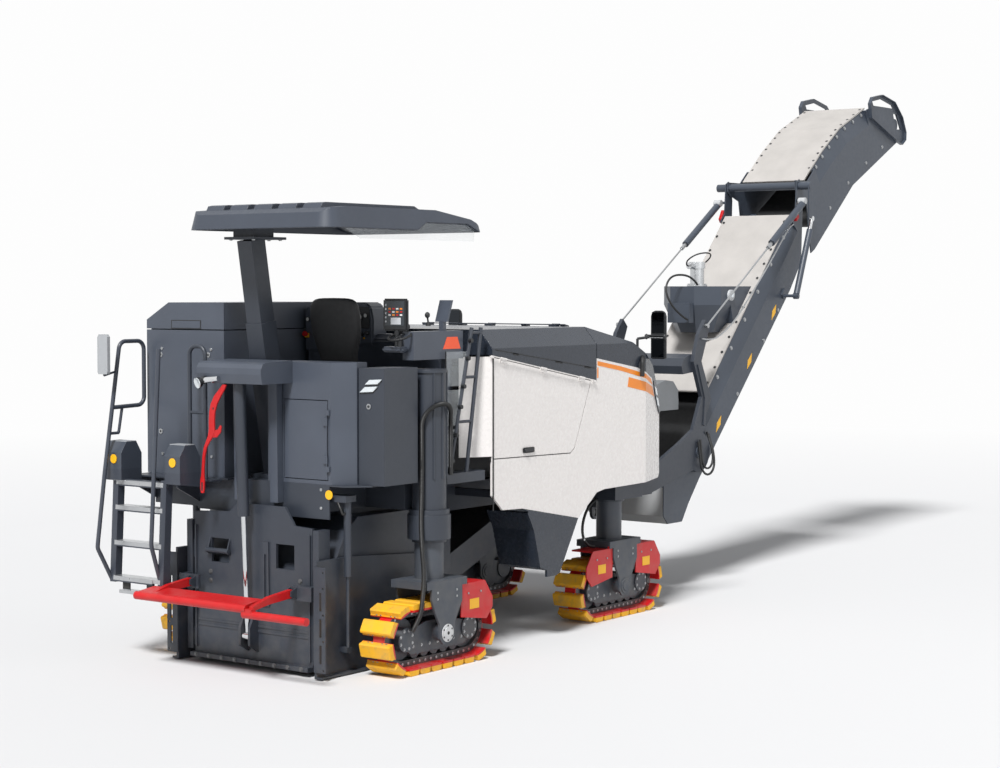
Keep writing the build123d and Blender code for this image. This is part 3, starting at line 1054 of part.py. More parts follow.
LOWER_EDGE = ((5000.0, 1610.0), (7030.0, 3760.0))
EDGE_LENGTH = hypot(LOWER_EDGE[1][0] - LOWER_EDGE[0][0], LOWER_EDGE[1][1] - LOWER_EDGE[0][1])
STRIP_FROM = beside_line(*LOWER_EDGE, STRIP_REACH, 0)
STRIP_TO = beside_line(*LOWER_EDGE, EDGE_LENGTH - STRIP_REACH, 0)
with BuildPart() as lower_conveyor:
    for low, high in both_sides(LOWER_HALF - CONVEYOR_WALL, LOWER_HALF):
        side_plate(LOWER_WALL, low, high)
        side_plate([beside_line(*LOWER_EDGE, STRIP_REACH, -STRIP_HEIGHT),
                    beside_line(*LOWER_EDGE, STRIP_REACH, 9),
                    beside_line(*LOWER_EDGE, EDGE_LENGTH - STRIP_REACH, 9),
                    beside_line(*LOWER_EDGE, EDGE_LENGTH - STRIP_REACH, -STRIP_HEIGHT)],
                   low - 1, high + 1, Mode.SUBTRACT)
    leaning_strip(STRIP_FROM, STRIP_TO, LOWER_HALF, (0, 1))
    for low, high in both_sides(LOWER_HALF - CONVEYOR_WALL, LOWER_HALF):
        bar((FOLD_X, low - 1, FOLD_Z), (FOLD_X, high + 1, FOLD_Z), FOLD_TUBE_RADIUS + FIT, Mode.SUBTRACT)
    for side in (-1, 1):
        bar((LUFF_X, side * (LOWER_HALF - 1), LUFF_Z), (LUFF_X, side * (YOKE_ARM_Y[1] + 8), LUFF_Z),
            LUFF_PIN_RADIUS)
        bar(at_y(LUFF_TOP, side * (LOWER_HALF - 1)), at_y(LUFF_TOP, side * (ROPE_Y + 25)), 14)
    for x, z in ((5420, 1697), (6250, 2576)):
        bar((x, -LOWER_HALF + 5, z), (x, LOWER_HALF - 5, z), 40)
    for drum_at in (LOWER_TAIL, LOWER_HEAD):
        bar(at_y(drum_at, -LOWER_HALF + 5), at_y(drum_at, LOWER_HALF - 5),
            DRUM_OUTER - BELT_THICK - SEAT_GAP)
    side_plate([(4420, 740), (4500, 660), (4760, 660), (4760, 672), (4505, 672), (4432, 745),
                (4432, 1200), (4420, 1200)], -LOWER_HALF + 5, LOWER_HALF - 5)
    bar(at_y(FOLD_BASE, -LOWER_HALF + 1), at_y(FOLD_BASE, FOLD_CYLINDER_Y - 30), 16)
    side_plate([(FOLD_BASE[0] - 60, FOLD_BASE[1] + 10), (FOLD_BASE[0] - 20, FOLD_BASE[1] - 30),
                (FOLD_BASE[0] + 30, FOLD_BASE[1] - 10), (FOLD_BASE[0] + 60, FOLD_BASE[1] + 60),
                (FOLD_BASE[0], FOLD_BASE[1] + 80)], -LOWER_HALF - 20, -LOWER_HALF + 1)
finish(lower_conveyor, "conveyor_lower")

with BuildPart() as lower_belt:
    belt_loop(LOWER_TAIL, LOWER_HEAD, DRUM_OUTER, BELT_HALF)
finish(lower_belt, "belt_lower")

with BuildPart() as lower_cover:
    side_plate([wall_top(5280, 0.4), wall_top(6990, 0.4), wall_top(6985, 18), wall_top(5275, 18)],
               -LOWER_HALF + COVER_INSET, LOWER_HALF - COVER_INSET)
finish(lower_cover, "cover_lower")

HOOD_TUB = (5800.0, 2500.0, 2780.0, 2970.0)
TUB_FOOT = 235.0
TUB_RADIUS = 370.0
TUB_HALF = TUB_RADIUS * cos(pi / 8)
with BuildPart() as hopper:
    for level, radius in ((HOOD_TUB[1], TUB_FOOT), (HOOD_TUB[2], TUB_RADIUS)):
        with BuildSketch(Plane.XY.offset(level)):
            with Locations((HOOD_TUB[0] + REAR_AXLE_X, 0)):
                RegularPolygon(radius, 8, rotation=22.5)
    loft()
    with BuildSketch(Plane.XY.offset(HOOD_TUB[2])):
        with Locations((HOOD_TUB[0] + REAR_AXLE_X, 0)):
            RegularPolygon(TUB_RADIUS, 8, rotation=22.5)
    extrude(amount=HOOD_TUB[3] - HOOD_TUB[2])
    side_plate([(HOOD_TUB[0], HOOD_TUB[3]), (6330, HOOD_TUB[3]), (6000, 2500), (HOOD_TUB[0] + 100, 2600)],
               -TUB_HALF, TUB_HALF)
    block((5390, 5470), (-130, 130), (2600, 2800))
    side_plate([wall_top(5300, 18.4), wall_top(6900, 18.4), (6900, 2000), (5300, 1500)], -600, 600,
               Mode.SUBTRACT)
    motor_x = HOOD_TUB[0] - 50
    bar((motor_x, 0, HOOD_TUB[3] - 1), (motor_x, 0, HOOD_TUB[3] + 18), 105)
    bar((motor_x, 0, HOOD_TUB[3]), (motor_x, 0, 3200), 72)
    bar((motor_x, 0, 3150), (motor_x, 0, 3220), 84)
    bar((motor_x, 0, 3180), (motor_x - 160, 0, 3180), 34)
    bar((HOOD_TUB[0] + 30, -TUB_HALF + 1, 2880), (HOOD_TUB[0] + 30, -TUB_HALF - 26, 2880), 56)
    bar((HOOD_TUB[0] + 30, -TUB_HALF - 12, 2880), (HOOD_TUB[0] + 30, -TUB_HALF - 27, 2880), 34,
        Mode.SUBTRACT)
finish(hopper, "dust_extraction_hood")


BARREL_LENGTH = 850.0
LUFF_LENGTH = hypot(LUFF_TOP[0] - LUFF_ANCHOR[0], LUFF_TOP[1] - LUFF_ANCHOR[1])
with BuildPart() as luff_cylinders:
    for side in (-1, 1):
        y = side * ROPE_Y
        bar(at_y(LUFF_TOP, y - 20), at_y(LUFF_TOP, y + 20), 32)
        bar(at_y(toward(LUFF_TOP, LUFF_ANCHOR, 20), y),
            at_y(toward(LUFF_TOP, LUFF_ANCHOR, BARREL_LENGTH), y), 36)
        bar(at_y(toward(LUFF_TOP, LUFF_ANCHOR, 90), y),
            at_y(toward(LUFF_TOP, LUFF_ANCHOR, BARREL_LENGTH + 1), y), 20 + FIT, Mode.SUBTRACT)
        bar(at_y(LUFF_TOP, y - 21), at_y(LUFF_TOP, y + 21), 14 + FIT, Mode.SUBTRACT)
finish(luff_cylinders, "luff_cylinders")

with BuildPart() as luff_ropes:
    for side in (-1, 1):
        y = side * ROPE_Y
        bar(at_y(toward(LUFF_TOP, LUFF_ANCHOR, 220), y),
            at_y(toward(LUFF_TOP, LUFF_ANCHOR, BARREL_LENGTH + 90), y), 20)
        bar(at_y(toward(LUFF_TOP, LUFF_ANCHOR, BARREL_LENGTH + 80), y), at_y(LUFF_ANCHOR, y), 9)
        bar(at_y(LUFF_ANCHOR, side * (YOKE_ARM_Y[1] + FIT)), at_y(LUFF_ANCHOR, side * (ROPE_Y + 18)), 22)
finish(luff_ropes, "luff_ropes")

# ---- Discharge conveyor, upper section ----------------------------------------------------
UPPER_WALL = [(7060, 4100), (7060, 4000), (7110, 3960), (7300, 3900), (7420, 3330), (7500, 3370),
              (8390, 4100), (9490, 4640), (9640, 4700), (9500, 5000), (8740, 4970), (8140, 4710),
              (7740, 4440), (7330, 4100)]
UPPER_TAIL = (7590.0, 3700.0)
UPPER_HEAD = (9430.0, 4830.0)
UPPER_DRUM = 85.0
UPPER_STRIPS = (((7480.0, 4224.4), (7740.0, 4440.0), (0,)),
                ((7740.0, 4440.0), (8140.0, 4710.0), ()),
                ((8140.0, 4710.0), (8700.0, 4952.7), (1,)))
GUARD_PLATE = 8.0
GUARD_FLANGE = 40.0
HEAD_GUARD = [(8770, 4870), (8735, 5030), (8790, 5105), (9040, 5150), (9360, 5090), (9560, 4930),
              (9655, 4760), (9650, 4670), (9560, 4610), (9440, 4640)]
GUARD_WINDOWS = ([(8830, 5060), (9040, 5100), (9310, 5050), (9350, 5015), (8860, 5015)],
                 [(9360, 4960), (9450, 4955), (9570, 4790), (9430, 4780)])
with BuildPart() as upper_conveyor:
    for low, high in both_sides(UPPER_HALF - CONVEYOR_WALL, UPPER_HALF):
        side_plate(UPPER_WALL, low, high)
        for first, last, ends in UPPER_STRIPS:
            run = hypot(last[0] - first[0], last[1] - first[1])
            side_plate([beside_line(first, last, 0, -STRIP_HEIGHT), beside_line(first, last, 0, 9),
                        beside_line(first, last, run, 9), beside_line(first, last, run, -STRIP_HEIGHT)],
                       low - 1, high + 1, Mode.SUBTRACT)
    for first, last, ends in UPPER_STRIPS:
        leaning_strip(first, last, UPPER_HALF, ends)
    for side in (-1, 1):
        side_plate(HEAD_GUARD, *sorted((side * UPPER_HALF, side * (UPPER_HALF + GUARD_PLATE))))
        outer = side * (UPPER_HALF + GUARD_FLANGE) if side > 0 else -UPPER_HALF
        plane = Plane(origin=(0, outer, 0), x_dir=(1, 0, 0), z_dir=(0, -1, 0))
        with BuildSketch(plane) as rim:
            with BuildLine():
                Polyline(*shifted(HEAD_GUARD), close=True)
            make_face()
            offset(amount=-GUARD_PLATE, kind=Kind.INTERSECTION, mode=Mode.SUBTRACT)
        extrude(rim.sketch, amount=GUARD_FLANGE)
        for window in GUARD_WINDOWS:
            side_plate(window, *sorted((side * (UPPER_HALF - CONVEYOR_WALL - 1),
                                        side * (UPPER_HALF + GUARD_PLATE + 1))), Mode.SUBTRACT)
    for low, high in both_sides(UPPER_HALF - CONVEYOR_WALL, UPPER_HALF):
        bar((FOLD_X, low - 1, FOLD_Z), (FOLD_X, high + 1, FOLD_Z), FOLD_TUBE_RADIUS + SEAT_GAP,
            Mode.SUBTRACT)
    bar((FOLD_X, -LOWER_HALF - 140, FOLD_Z), (FOLD_X, LOWER_HALF + 120, FOLD_Z), FOLD_TUBE_RADIUS)
    side_plate([(FOLD_X - 42, FOLD_Z), (FOLD_X, FOLD_Z + 42), (FOLD_X + 42, FOLD_Z),
                (FOLD_EYE[0] + 32, FOLD_EYE[1]), (FOLD_EYE[0], FOLD_EYE[1] - 32),
                (FOLD_EYE[0] - 32, FOLD_EYE[1])], -LOWER_HALF - 136, -LOWER_HALF - 125)
    for drum_at in (UPPER_TAIL, UPPER_HEAD):
        bar(at_y(drum_at, -UPPER_HALF + 5), at_y(drum_at, UPPER_HALF - 5),
            UPPER_DRUM - BELT_THICK - SEAT_GAP)
finish(upper_conveyor, "conveyor_upper")

with BuildPart() as upper_belt:
    belt_loop(UPPER_TAIL, UPPER_HEAD, UPPER_DRUM, BELT_HALF)
finish(upper_belt, "belt_upper")

with BuildPart() as upper_cover:
    side_plate([(7330, 4100 + SEAT_GAP), (7740, 4440 + SEAT_GAP), (8140, 4710 + SEAT_GAP),
                (8740, 4970 + SEAT_GAP), (8735, 4984), (8132, 4724), (7730, 4453), (7320, 4112)],
               -UPPER_HALF + COVER_INSET, UPPER_HALF - COVER_INSET)
finish(upper_cover, "cover_upper")

# ---- Folding cylinder ---------------------------------------------------------------------
FOLD_BARREL = 760.0
with BuildPart() as fold_cylinder:
    y = FOLD_CYLINDER_Y
    bar(at_y(FOLD_BASE, y - 24), at_y(FOLD_BASE, y + 24), 34)
    bar(at_y(toward(FOLD_BASE, FOLD_EYE, 20), y), at_y(toward(FOLD_BASE, FOLD_EYE, FOLD_BARREL), y), 32)
    bar(at_y(toward(FOLD_BASE, FOLD_EYE, 60), y), at_y(toward(FOLD_BASE, FOLD_EYE, FOLD_BARREL + 1), y),
        17 + FIT, Mode.SUBTRACT)
    bar(at_y(FOLD_BASE, y - 25), at_y(FOLD_BASE, y + 25), 16 + FIT, Mode.SUBTRACT)
finish(fold_cylinder, "fold_cylinder")

with BuildPart() as fold_rod:
    bar(at_y(toward(FOLD_BASE, FOLD_EYE, 100), y), at_y(FOLD_EYE, y), 17)
    bar(at_y(FOLD_EYE, y - 14), at_y(FOLD_EYE, -576 - FIT), 26)
finish(fold_rod, "fold_rod")
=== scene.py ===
"""Finishes the cold planer's solid model for a studio picture.

The solid model gives every rigid form. This script adds fastenings, lamps, trim, hoses, the seat
cushions and the finishes, and sets the studio round the machine. Places are in metres with X measured
ahead of the rear axle, and at() moves them to the machine's frame.
"""
import logging
import math
from dataclasses import dataclass, field
from enum import Enum
from functools import cached_property
from typing import Optional, Sequence

import bmesh
import bpy
from mathutils import Matrix, Vector


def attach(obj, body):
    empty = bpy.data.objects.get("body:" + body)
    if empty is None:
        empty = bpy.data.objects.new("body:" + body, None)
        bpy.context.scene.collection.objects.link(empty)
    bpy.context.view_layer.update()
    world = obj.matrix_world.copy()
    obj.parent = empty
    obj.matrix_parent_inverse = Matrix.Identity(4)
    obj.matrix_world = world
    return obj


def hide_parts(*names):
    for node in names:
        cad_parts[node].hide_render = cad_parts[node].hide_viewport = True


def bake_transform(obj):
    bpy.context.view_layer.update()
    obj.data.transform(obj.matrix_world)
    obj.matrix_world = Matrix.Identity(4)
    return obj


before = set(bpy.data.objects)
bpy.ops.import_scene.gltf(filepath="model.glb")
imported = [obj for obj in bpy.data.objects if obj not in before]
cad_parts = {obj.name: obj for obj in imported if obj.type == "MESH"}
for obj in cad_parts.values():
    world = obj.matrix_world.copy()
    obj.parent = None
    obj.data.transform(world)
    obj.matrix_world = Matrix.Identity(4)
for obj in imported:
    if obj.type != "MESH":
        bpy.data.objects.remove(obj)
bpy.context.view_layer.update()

LOG = logging.getLogger("planer")
AXLE_X = -4.094
SHADE_ANGLE = math.radians(35)
BEVEL_ANGLE = 0.6
SPIN_LIMIT = 6.28
Point = tuple[float, float, float]
Flat = tuple[float, float]


def at(x: float, y: float, z: float) -> Vector:
    """Moves a place measured ahead of the rear axle to the machine's frame."""
    return Vector((x + AXLE_X, y, z))


def beside(side: int, near: float, far: float) -> list[float]:
    """Gives the Y range between two distances off the middle plane, on one side of it."""
    return sorted((side * near, side * far))


def linear(code: str) -> tuple[float, float, float, float]:
    """Turns a hex colour code into scene-linear values.

    Args:
        code: Six hex digits.

    Returns:
        Linear red, green, blue and full alpha.
    """
    values = [int(code[i:i + 2], 16) / 255 for i in (0, 2, 4)]
    made = [v / 12.92 if v <= 0.04045 else ((v + 0.055) / 1.055) ** 2.4 for v in values]
    return (made[0], made[1], made[2], 1.0)


def add_object(name: str, data: bpy.types.ID) -> bpy.types.Object:
    """Makes an object and links it to the scene.

    Args:
        name: The object's name.
        data: Its mesh, curve, camera or light.

    Returns:
        The object.
    """
    made = bpy.data.objects.new(name, data)
    bpy.context.scene.collection.objects.link(made)
    return made


def settled(source: bpy.types.Object) -> bpy.types.Mesh:
    """Copies the mesh that an object's curve settings or modifiers give.

    Args:
        source: The object.

    Returns:
        The mesh.
    """
    bpy.context.view_layer.update()
    ready = source.evaluated_get(bpy.context.evaluated_depsgraph_get())
    return bpy.data.meshes.new_from_object(ready)


def bridge(part: bmesh.types.BMesh, rings: Sequence[Sequence[bmesh.types.BMVert]]) -> None:
    """Joins rings of points with faces, and caps both ends.

    Args:
        part: The form that the points are in.
        rings: The rings, each with as many points.
    """
    for first, second in zip(rings, rings[1:]):
        for k in range(len(first)):
            m = (k + 1) % len(first)
            part.faces.new((first[k], first[m], second[m], second[k]))
    part.faces.new(rings[0][::-1])
    part.faces.new(rings[-1])


def circle_points(centre: Flat, radius: float, count: int, shift: float = 0.0) -> list[Flat]:
    """Spaces places evenly round a circle.

    Args:
        centre: Its centre.
        radius: Its radius.
        count: How many places.
        shift: Turn of the first one, as a share of a step.

    Returns:
        The places.
    """
    turns = (2 * math.pi * (i + shift) / count for i in range(count))
    return [(centre[0] + radius * math.cos(t), centre[1] + radius * math.sin(t)) for t in turns]


# ---- Finishes -----------------------------------------------------------------------------
class Graph:
    """A node tree with short calls for the nodes in use."""

    def __init__(self, tree: bpy.types.NodeTree) -> None:
        """Takes a tree and empties it."""
        self.tree = tree
        self.tree.nodes.clear()

    @classmethod
    def of(cls, owner: bpy.types.ID) -> "Graph":
        """Starts the tree of a material or a world."""
        owner.use_nodes = True
        return cls(owner.node_tree)

    def node(self, kind: str, inputs: Optional[dict] = None, **settings: object) -> bpy.types.Node:
        """Adds a node.

        Args:
            kind: Node type, without its prefix if that is ShaderNode.
            inputs: Sockets or constants for its inputs, by name or number.
            settings: Properties to set on it first.

        Returns:
            The node.
        """
        made = self.tree.nodes.new(kind if "Node" in kind else "ShaderNode" + kind)
        for key, value in settings.items():
            setattr(made, key, value)
        for key, value in (inputs or {}).items():
            self.feed(made.inputs[key], value)
        return made

    def feed(self, socket: bpy.types.NodeSocket, value: object) -> None:
        """Links a socket to another, or gives it a constant.

        Args:
            socket: The input.
            value: An output socket or a constant.
        """
        if isinstance(value, bpy.types.NodeSocket):
            self.tree.links.new(value, socket)
        else:
            socket.default_value = value

    def math(self, operation: str, first: object, second: object = 0.0) -> bpy.types.NodeSocket:
        """Joins two values by a math operation."""
        return self.node("Math", {0: first, 1: second}, operation=operation).outputs[0]

    def mix(self, factor: object, first: object, second: object) -> bpy.types.NodeSocket:
        """Mixes two colours by the second one's share."""
        return self.node("Mix", {0: factor, 6: first, 7: second}, data_type="RGBA").outputs[2]

    def pick(self, mask: object, inside: object, outside: object) -> bpy.types.NodeSocket:
        """Takes one value where a mask is one, and another where it is zero."""
        rest = self.math("MULTIPLY", self.math("SUBTRACT", 1.0, mask), outside)
        return self.math("ADD", self.math("MULTIPLY", mask, inside), rest)

    def span(self, value: object, low: float, high: float, start: float = 0.0,
             end: float = 1.0) -> bpy.types.NodeSocket:
        """Maps the range from low to high onto the one from start to end, held at its ends."""
        return self.node("MapRange", dict(enumerate((value, low, high, start, end)))).outputs[0]

    def noise(self, scale: float, detail: float, **settings: object) -> bpy.types.NodeSocket:
        """Adds a noise texture on the object's own coordinates, with its scale in cells a metre."""
        inputs = {"Vector": self.place, "Scale": scale, "Detail": detail}
        return self.node("TexNoise", inputs, **settings).outputs[0]

    @cached_property
    def place(self) -> bpy.types.NodeSocket:
        """Gives the object's own coordinates."""
        return self.node("TexCoord").outputs["Object"]

    @cached_property
    def axes(self) -> list[bpy.types.NodeSocket]:
        """Gives the object's own coordinates one by one."""
        return list(self.node("SeparateXYZ", {0: self.place}).outputs)

    def inside(self, low: Point, high: Point) -> bpy.types.NodeSocket:
        """Tells whether a place lies in a box.

        Args:
            low: Lowest corner, X ahead of the rear axle.
            high: Highest corner.

        Returns:
            One inside, zero outside.
        """
        result = None
        for axis, a, b in zip(self.axes, at(*low), at(*high)):
            off = self.math("ABSOLUTE", self.math("SUBTRACT", axis, (a + b) / 2))
            hit = self.math("LESS_THAN", off, (b - a) / 2)
            result = hit if result is None else self.math("MULTIPLY", result, hit)
        return result


@dataclass(frozen=True)
class Zone:
    """Part of a node that has another colour."""

    low: Point
    high: Point
    colour: str
    roughness: float = 0.4
    metallic: float = 0.0


@dataclass(frozen=True)
class Finish:
    """A procedural surface: colour, gloss, grain, rounded edges and light wear."""

    name: str
    colour: str
    roughness: float = 0.38
    metallic: float = 0.0
    variation: float = 0.05
    grain: float = 0.0
    grain_scale: float = 60.0
    edge: float = 0.004
    dust: float = 0.05
    dust_colour: str = "8A8478"
    dust_height: float = 1.1
    patch_scale: float = 3.5
    film_scale: float = 9.0
    gloss_scale: float = 24.0
    alpha: float = 1.0
    painted_glow: float = 0.0
    relief_share: float = 0.16
    zones: tuple[Zone, ...] = ()

    def build(self) -> bpy.types.Material:
        """Makes the material.

        Returns:
            The material.
        """
        material = bpy.data.materials.new(self.name)
        graph = Graph.of(material)
        colour, rough, metal = self.layers(graph)
        for zone in self.zones:
            hit = graph.inside(zone.low, zone.high)
            colour = graph.mix(hit, colour, linear(zone.colour))
            rough = graph.pick(hit, zone.roughness, rough)
            metal = graph.pick(hit, zone.metallic, metal)
        patches = graph.span(graph.noise(self.patch_scale, 5.0), 0.35, 0.7,
                             1 - self.variation, 1 + self.variation)
        colour = graph.node("HueSaturation", {"Value": patches, "Color": colour}).outputs[0]
        if self.dust:
            low = graph.span(graph.axes[2], 0.0, self.dust_height, 1.0, 0.0)
            film = graph.math("MULTIPLY", graph.math("MULTIPLY", low, self.dust * 3),
                              graph.span(graph.noise(self.film_scale, 6.0), 0.4, 0.75))
            colour = graph.mix(film, colour, linear(self.dust_colour))
        gloss = graph.span(graph.noise(self.gloss_scale, 3.0), 0.3, 0.7, -0.05, 0.05)
        surface = {"Base Color": colour, "Roughness": graph.math("ADD", rough, gloss),
                   "Metallic": metal, "Normal": self.relief(graph)}
        if self.alpha < 1.0:
            surface["Alpha"] = self.alpha
        # Emission here is painted light: it makes a part that is no lamp glow.
        if self.painted_glow:
            surface |= {"Emission Color": linear(self.colour), "Emission Strength": self.painted_glow}
        graph.node("OutputMaterial", {0: graph.node("BsdfPrincipled", surface).outputs[0]})
        return material

    def layers(self, graph: Graph) -> tuple:
        """Gives the colour, roughness and metal share under the zones."""
        return linear(self.colour), self.roughness, self.metallic

    def relief(self, graph: Graph) -> bpy.types.NodeSocket:
        """Makes normals with rounded edges and a fine grain.

        Args:
            graph: The material's tree.

        Returns:
            The normals.
        """
        inputs = {"Strength": self.relief_share, "Distance": 0.0006 + self.grain,
                  "Height": graph.noise(self.grain_scale, 2.0)}
        if self.edge:
            inputs["Normal"] = graph.node("Bevel", {"Radius": self.edge}, samples=3).outputs[0]
        return graph.node("Bump", inputs).outputs[0]


@dataclass(frozen=True)
class TrackFinish(Finish):
    """Chain, shoes and pads of one track, told apart by distance from its loop's middle line."""

    centre_x: float = 0.0
    half_run: float = 0.393
    loop_z: float = 0.2725
    shoe_reach: float = 0.2135
    pad_reach: float = 0.2315

    def layers(self, graph: Graph) -> tuple:
        """Colours the chain dark, the shoes red and the pads yellow.

        Args:
            graph: The material's tree.

        Returns:
            Colour, roughness and metal share.
        """
        x, _, z = graph.axes
        along = graph.math("ABSOLUTE", graph.math("SUBTRACT", x, self.centre_x + AXLE_X))
        past = graph.math("MAXIMUM", graph.math("SUBTRACT", along, self.half_run), 0.0)
        rise = graph.math("SUBTRACT", z, self.loop_z)
        reach = graph.math("SQRT", graph.math("ADD", graph.math("MULTIPLY", past, past),
                                              graph.math("MULTIPLY", rise, rise)))
        shoe = graph.math("GREATER_THAN", reach, self.shoe_reach)
        pad = graph.math("GREATER_THAN", reach, self.pad_reach)
        scuff = graph.span(graph.noise(18.0, 6.0), 0.54, 0.74)
        yellow = graph.mix(graph.math("MULTIPLY", scuff, 0.4), linear("F0B21E"), linear("A98A3C"))
        colour = graph.mix(shoe, linear(self.colour), linear("C9141A"))
        return graph.mix(pad, colour, yellow), graph.span(pad, 0.0, 1.0, 0.35, 0.6), 0.0


@dataclass(frozen=True)
class SheetFinish(Finish):
    """Coated cover sheet with soft creases."""

    def relief(self, graph: Graph) -> bpy.types.NodeSocket:
        """Makes normals with creases and a weave.

        Args:
            graph: The material's tree.

        Returns:
            The normals.
        """
        creases = graph.noise(7.0, 2.0, noise_type="RIDGED_MULTIFRACTAL")
        height = graph.math("ADD", graph.math("MULTIPLY", creases, 0.6), graph.noise(160.0, 1.0))
        return graph.node("Bump", {"Strength": 0.55, "Distance": 0.006, "Height": height}).outputs[0]


@dataclass(frozen=True)
class GlassFinish(Finish):
    """Clean, even surface with no dust and no rounded edges."""

    variation: float = 0.0
    dust: float = 0.0
    edge: float = 0.0


class Paints:
    """Builds each finish once and hands it out by name."""

    def __init__(self) -> None:
        """Lists the finishes."""
        steps = tuple(Zone((-1.245, 0.636, z - 0.003), (-1.09, 1.164, z + 0.033), "B4B6B8", 0.32, 0.7)
                      for z in (0.64, 0.92, 1.2, 1.4))
        steps += (Zone((-1.235, 0.715, 0.53), (-1.145, 1.105, 0.566), "B4B6B8", 0.32, 0.7),
                  Zone((-1.213, 0.725, 0.568), (-1.197, 1.085, 0.634), "1B1C1E", 0.6),
                  Zone((-1.321, 1.114, 2.27), (-1.285, 1.236, 2.595), "A4A7AA", 0.4),
                  Zone((-1.32, 0.38, 1.52), (-1.0, 1.3, 1.8), "3E444E", 0.35))
        grips = tuple(Zone((-1.23, y0, 1.735), (-0.99, y1, 1.75), "8F9296", 0.75)
                      for y0, y1 in ((1.07, 1.27), (0.41, 0.6)))
        tail = Zone((4.40, -0.43, 0.60), (4.76, 0.43, 1.02), "A9ABAC", 0.4)
        motor = Zone((5.55, -0.12, 2.9715), (5.90, 0.12, 3.24), "C9CBCD", 0.28, 0.85)
        sight = Zone((5.76, -0.375, 2.81), (5.90, -0.3435, 2.95), "C3C5C7", 0.4)
        listed = [
            Finish("body white", "E7E3E0", 0.27, variation=0.006, dust=0.0, relief_share=0.06,
                   grain_scale=14.0),
            Finish("hood grey", "2B313B", 0.27),
            Finish("frame grey", "31363F", 0.42),
            # The cabinets' grey paint, lightened beyond frame grey as painted light on the lit rear faces;
            # the right cabinet keeps the darker frame grey.
            Finish("cabinet grey with painted light", "474D58", 0.38, grain=0.0004, grain_scale=240.0),
            Finish("conveyor grey", "3D444F", 0.4, zones=(tail, motor, sight)),
            Finish("ladder grey", "393E48", 0.4, zones=steps + grips),
            Finish("canopy shell", "3B414C", 0.45, grain=0.0006, grain_scale=300.0, edge=0.012),
            Finish("safety red", "BE0E13", 0.42),
            Finish("warning yellow", "F4B61A", 0.4),
            Finish("stripe orange", "F08A24", 0.35, edge=0.0),
            Finish("black rubber", "17181A", 0.6, grain=0.0008, grain_scale=90.0),
            Finish("black plastic", "1E2023", 0.42, grain=0.0004, grain_scale=280.0),
            Finish("seat cover", "191A1C", 0.62, grain=0.0006, grain_scale=420.0, edge=0.0),
            Finish("chrome", "D6D8DA", 0.08, metallic=1.0, variation=0.01, dust=0.0, edge=0.001),
            Finish("zinc", "A9ABAD", 0.3, metallic=0.9, edge=0.001),
            Finish("worn steel", "6B6C6E", 0.42, metallic=0.7, grain=0.001),
            Finish("light grey", "B9BBBD", 0.4),
            GlassFinish("lamp glass", "DCE2E6", 0.05, metallic=0.4),
            GlassFinish("clear sheet", "E4EAED", 0.05, alpha=0.15),
            GlassFinish("screen", "2B3238", 0.12),
            SheetFinish("cover sheet", "B4B0AC", 0.6, variation=0.07),
            Finish("primary grey", "363B44", 0.42, zones=(Zone((4.24, -0.4, 1.752), (4.84, 0.4, 2.09),
                                                               "76797C", 0.5),)),
            # Mirror glass made as a dark metal: its darkness is a painted reflection, not the glass's own
            # colour.
            GlassFinish("mirror with painted dark reflection", "34373B", 0.06, metallic=1.0),
            Finish("hose black", "141516", 0.5, edge=0.0, grain=0.0003, grain_scale=120.0),
            # The reflector's glow is painted light, standing in for the light that it sends back.
            Finish("reflector red", "E8542A", 0.2, edge=0.0, painted_glow=0.12),
            Finish("key pads", "C9CCD0", 0.4, edge=0.0),
            Finish("dial white", "E8E8E6", 0.4, edge=0.0),
        ]
        self.finishes = {entry.name: entry for entry in listed}
        self.made: dict[str, bpy.types.Material] = {}

    def get(self, name: str) -> bpy.types.Material:
        """Gives a finish's material.

        Args:
            name: The finish's name.

        Returns:
            The material.
        """
        if name not in self.made:
            self.made[name] = self.finishes[name].build()
        return self.made[name]

    def add(self, finish: Finish) -> str:
        """Takes in one more finish and gives its name."""
        self.finishes[finish.name] = finish
        return finish.name


PAINTS = Paints()


# ---- Forms --------------------------------------------------------------------------------
PLASTIC, RUBBER, GLASS = "black plastic", "black rubber", "lamp glass"


def box(left: float, low: float, right: float, high: float) -> list[Flat]:
    """Outlines a rectangle from two of its corners."""
    return [(left, low), (right, low), (right, high), (left, high)]


class Axis(Enum):
    """Direction that an outline is pushed out along."""

    X = 0
    Y = 1
    Z = 2


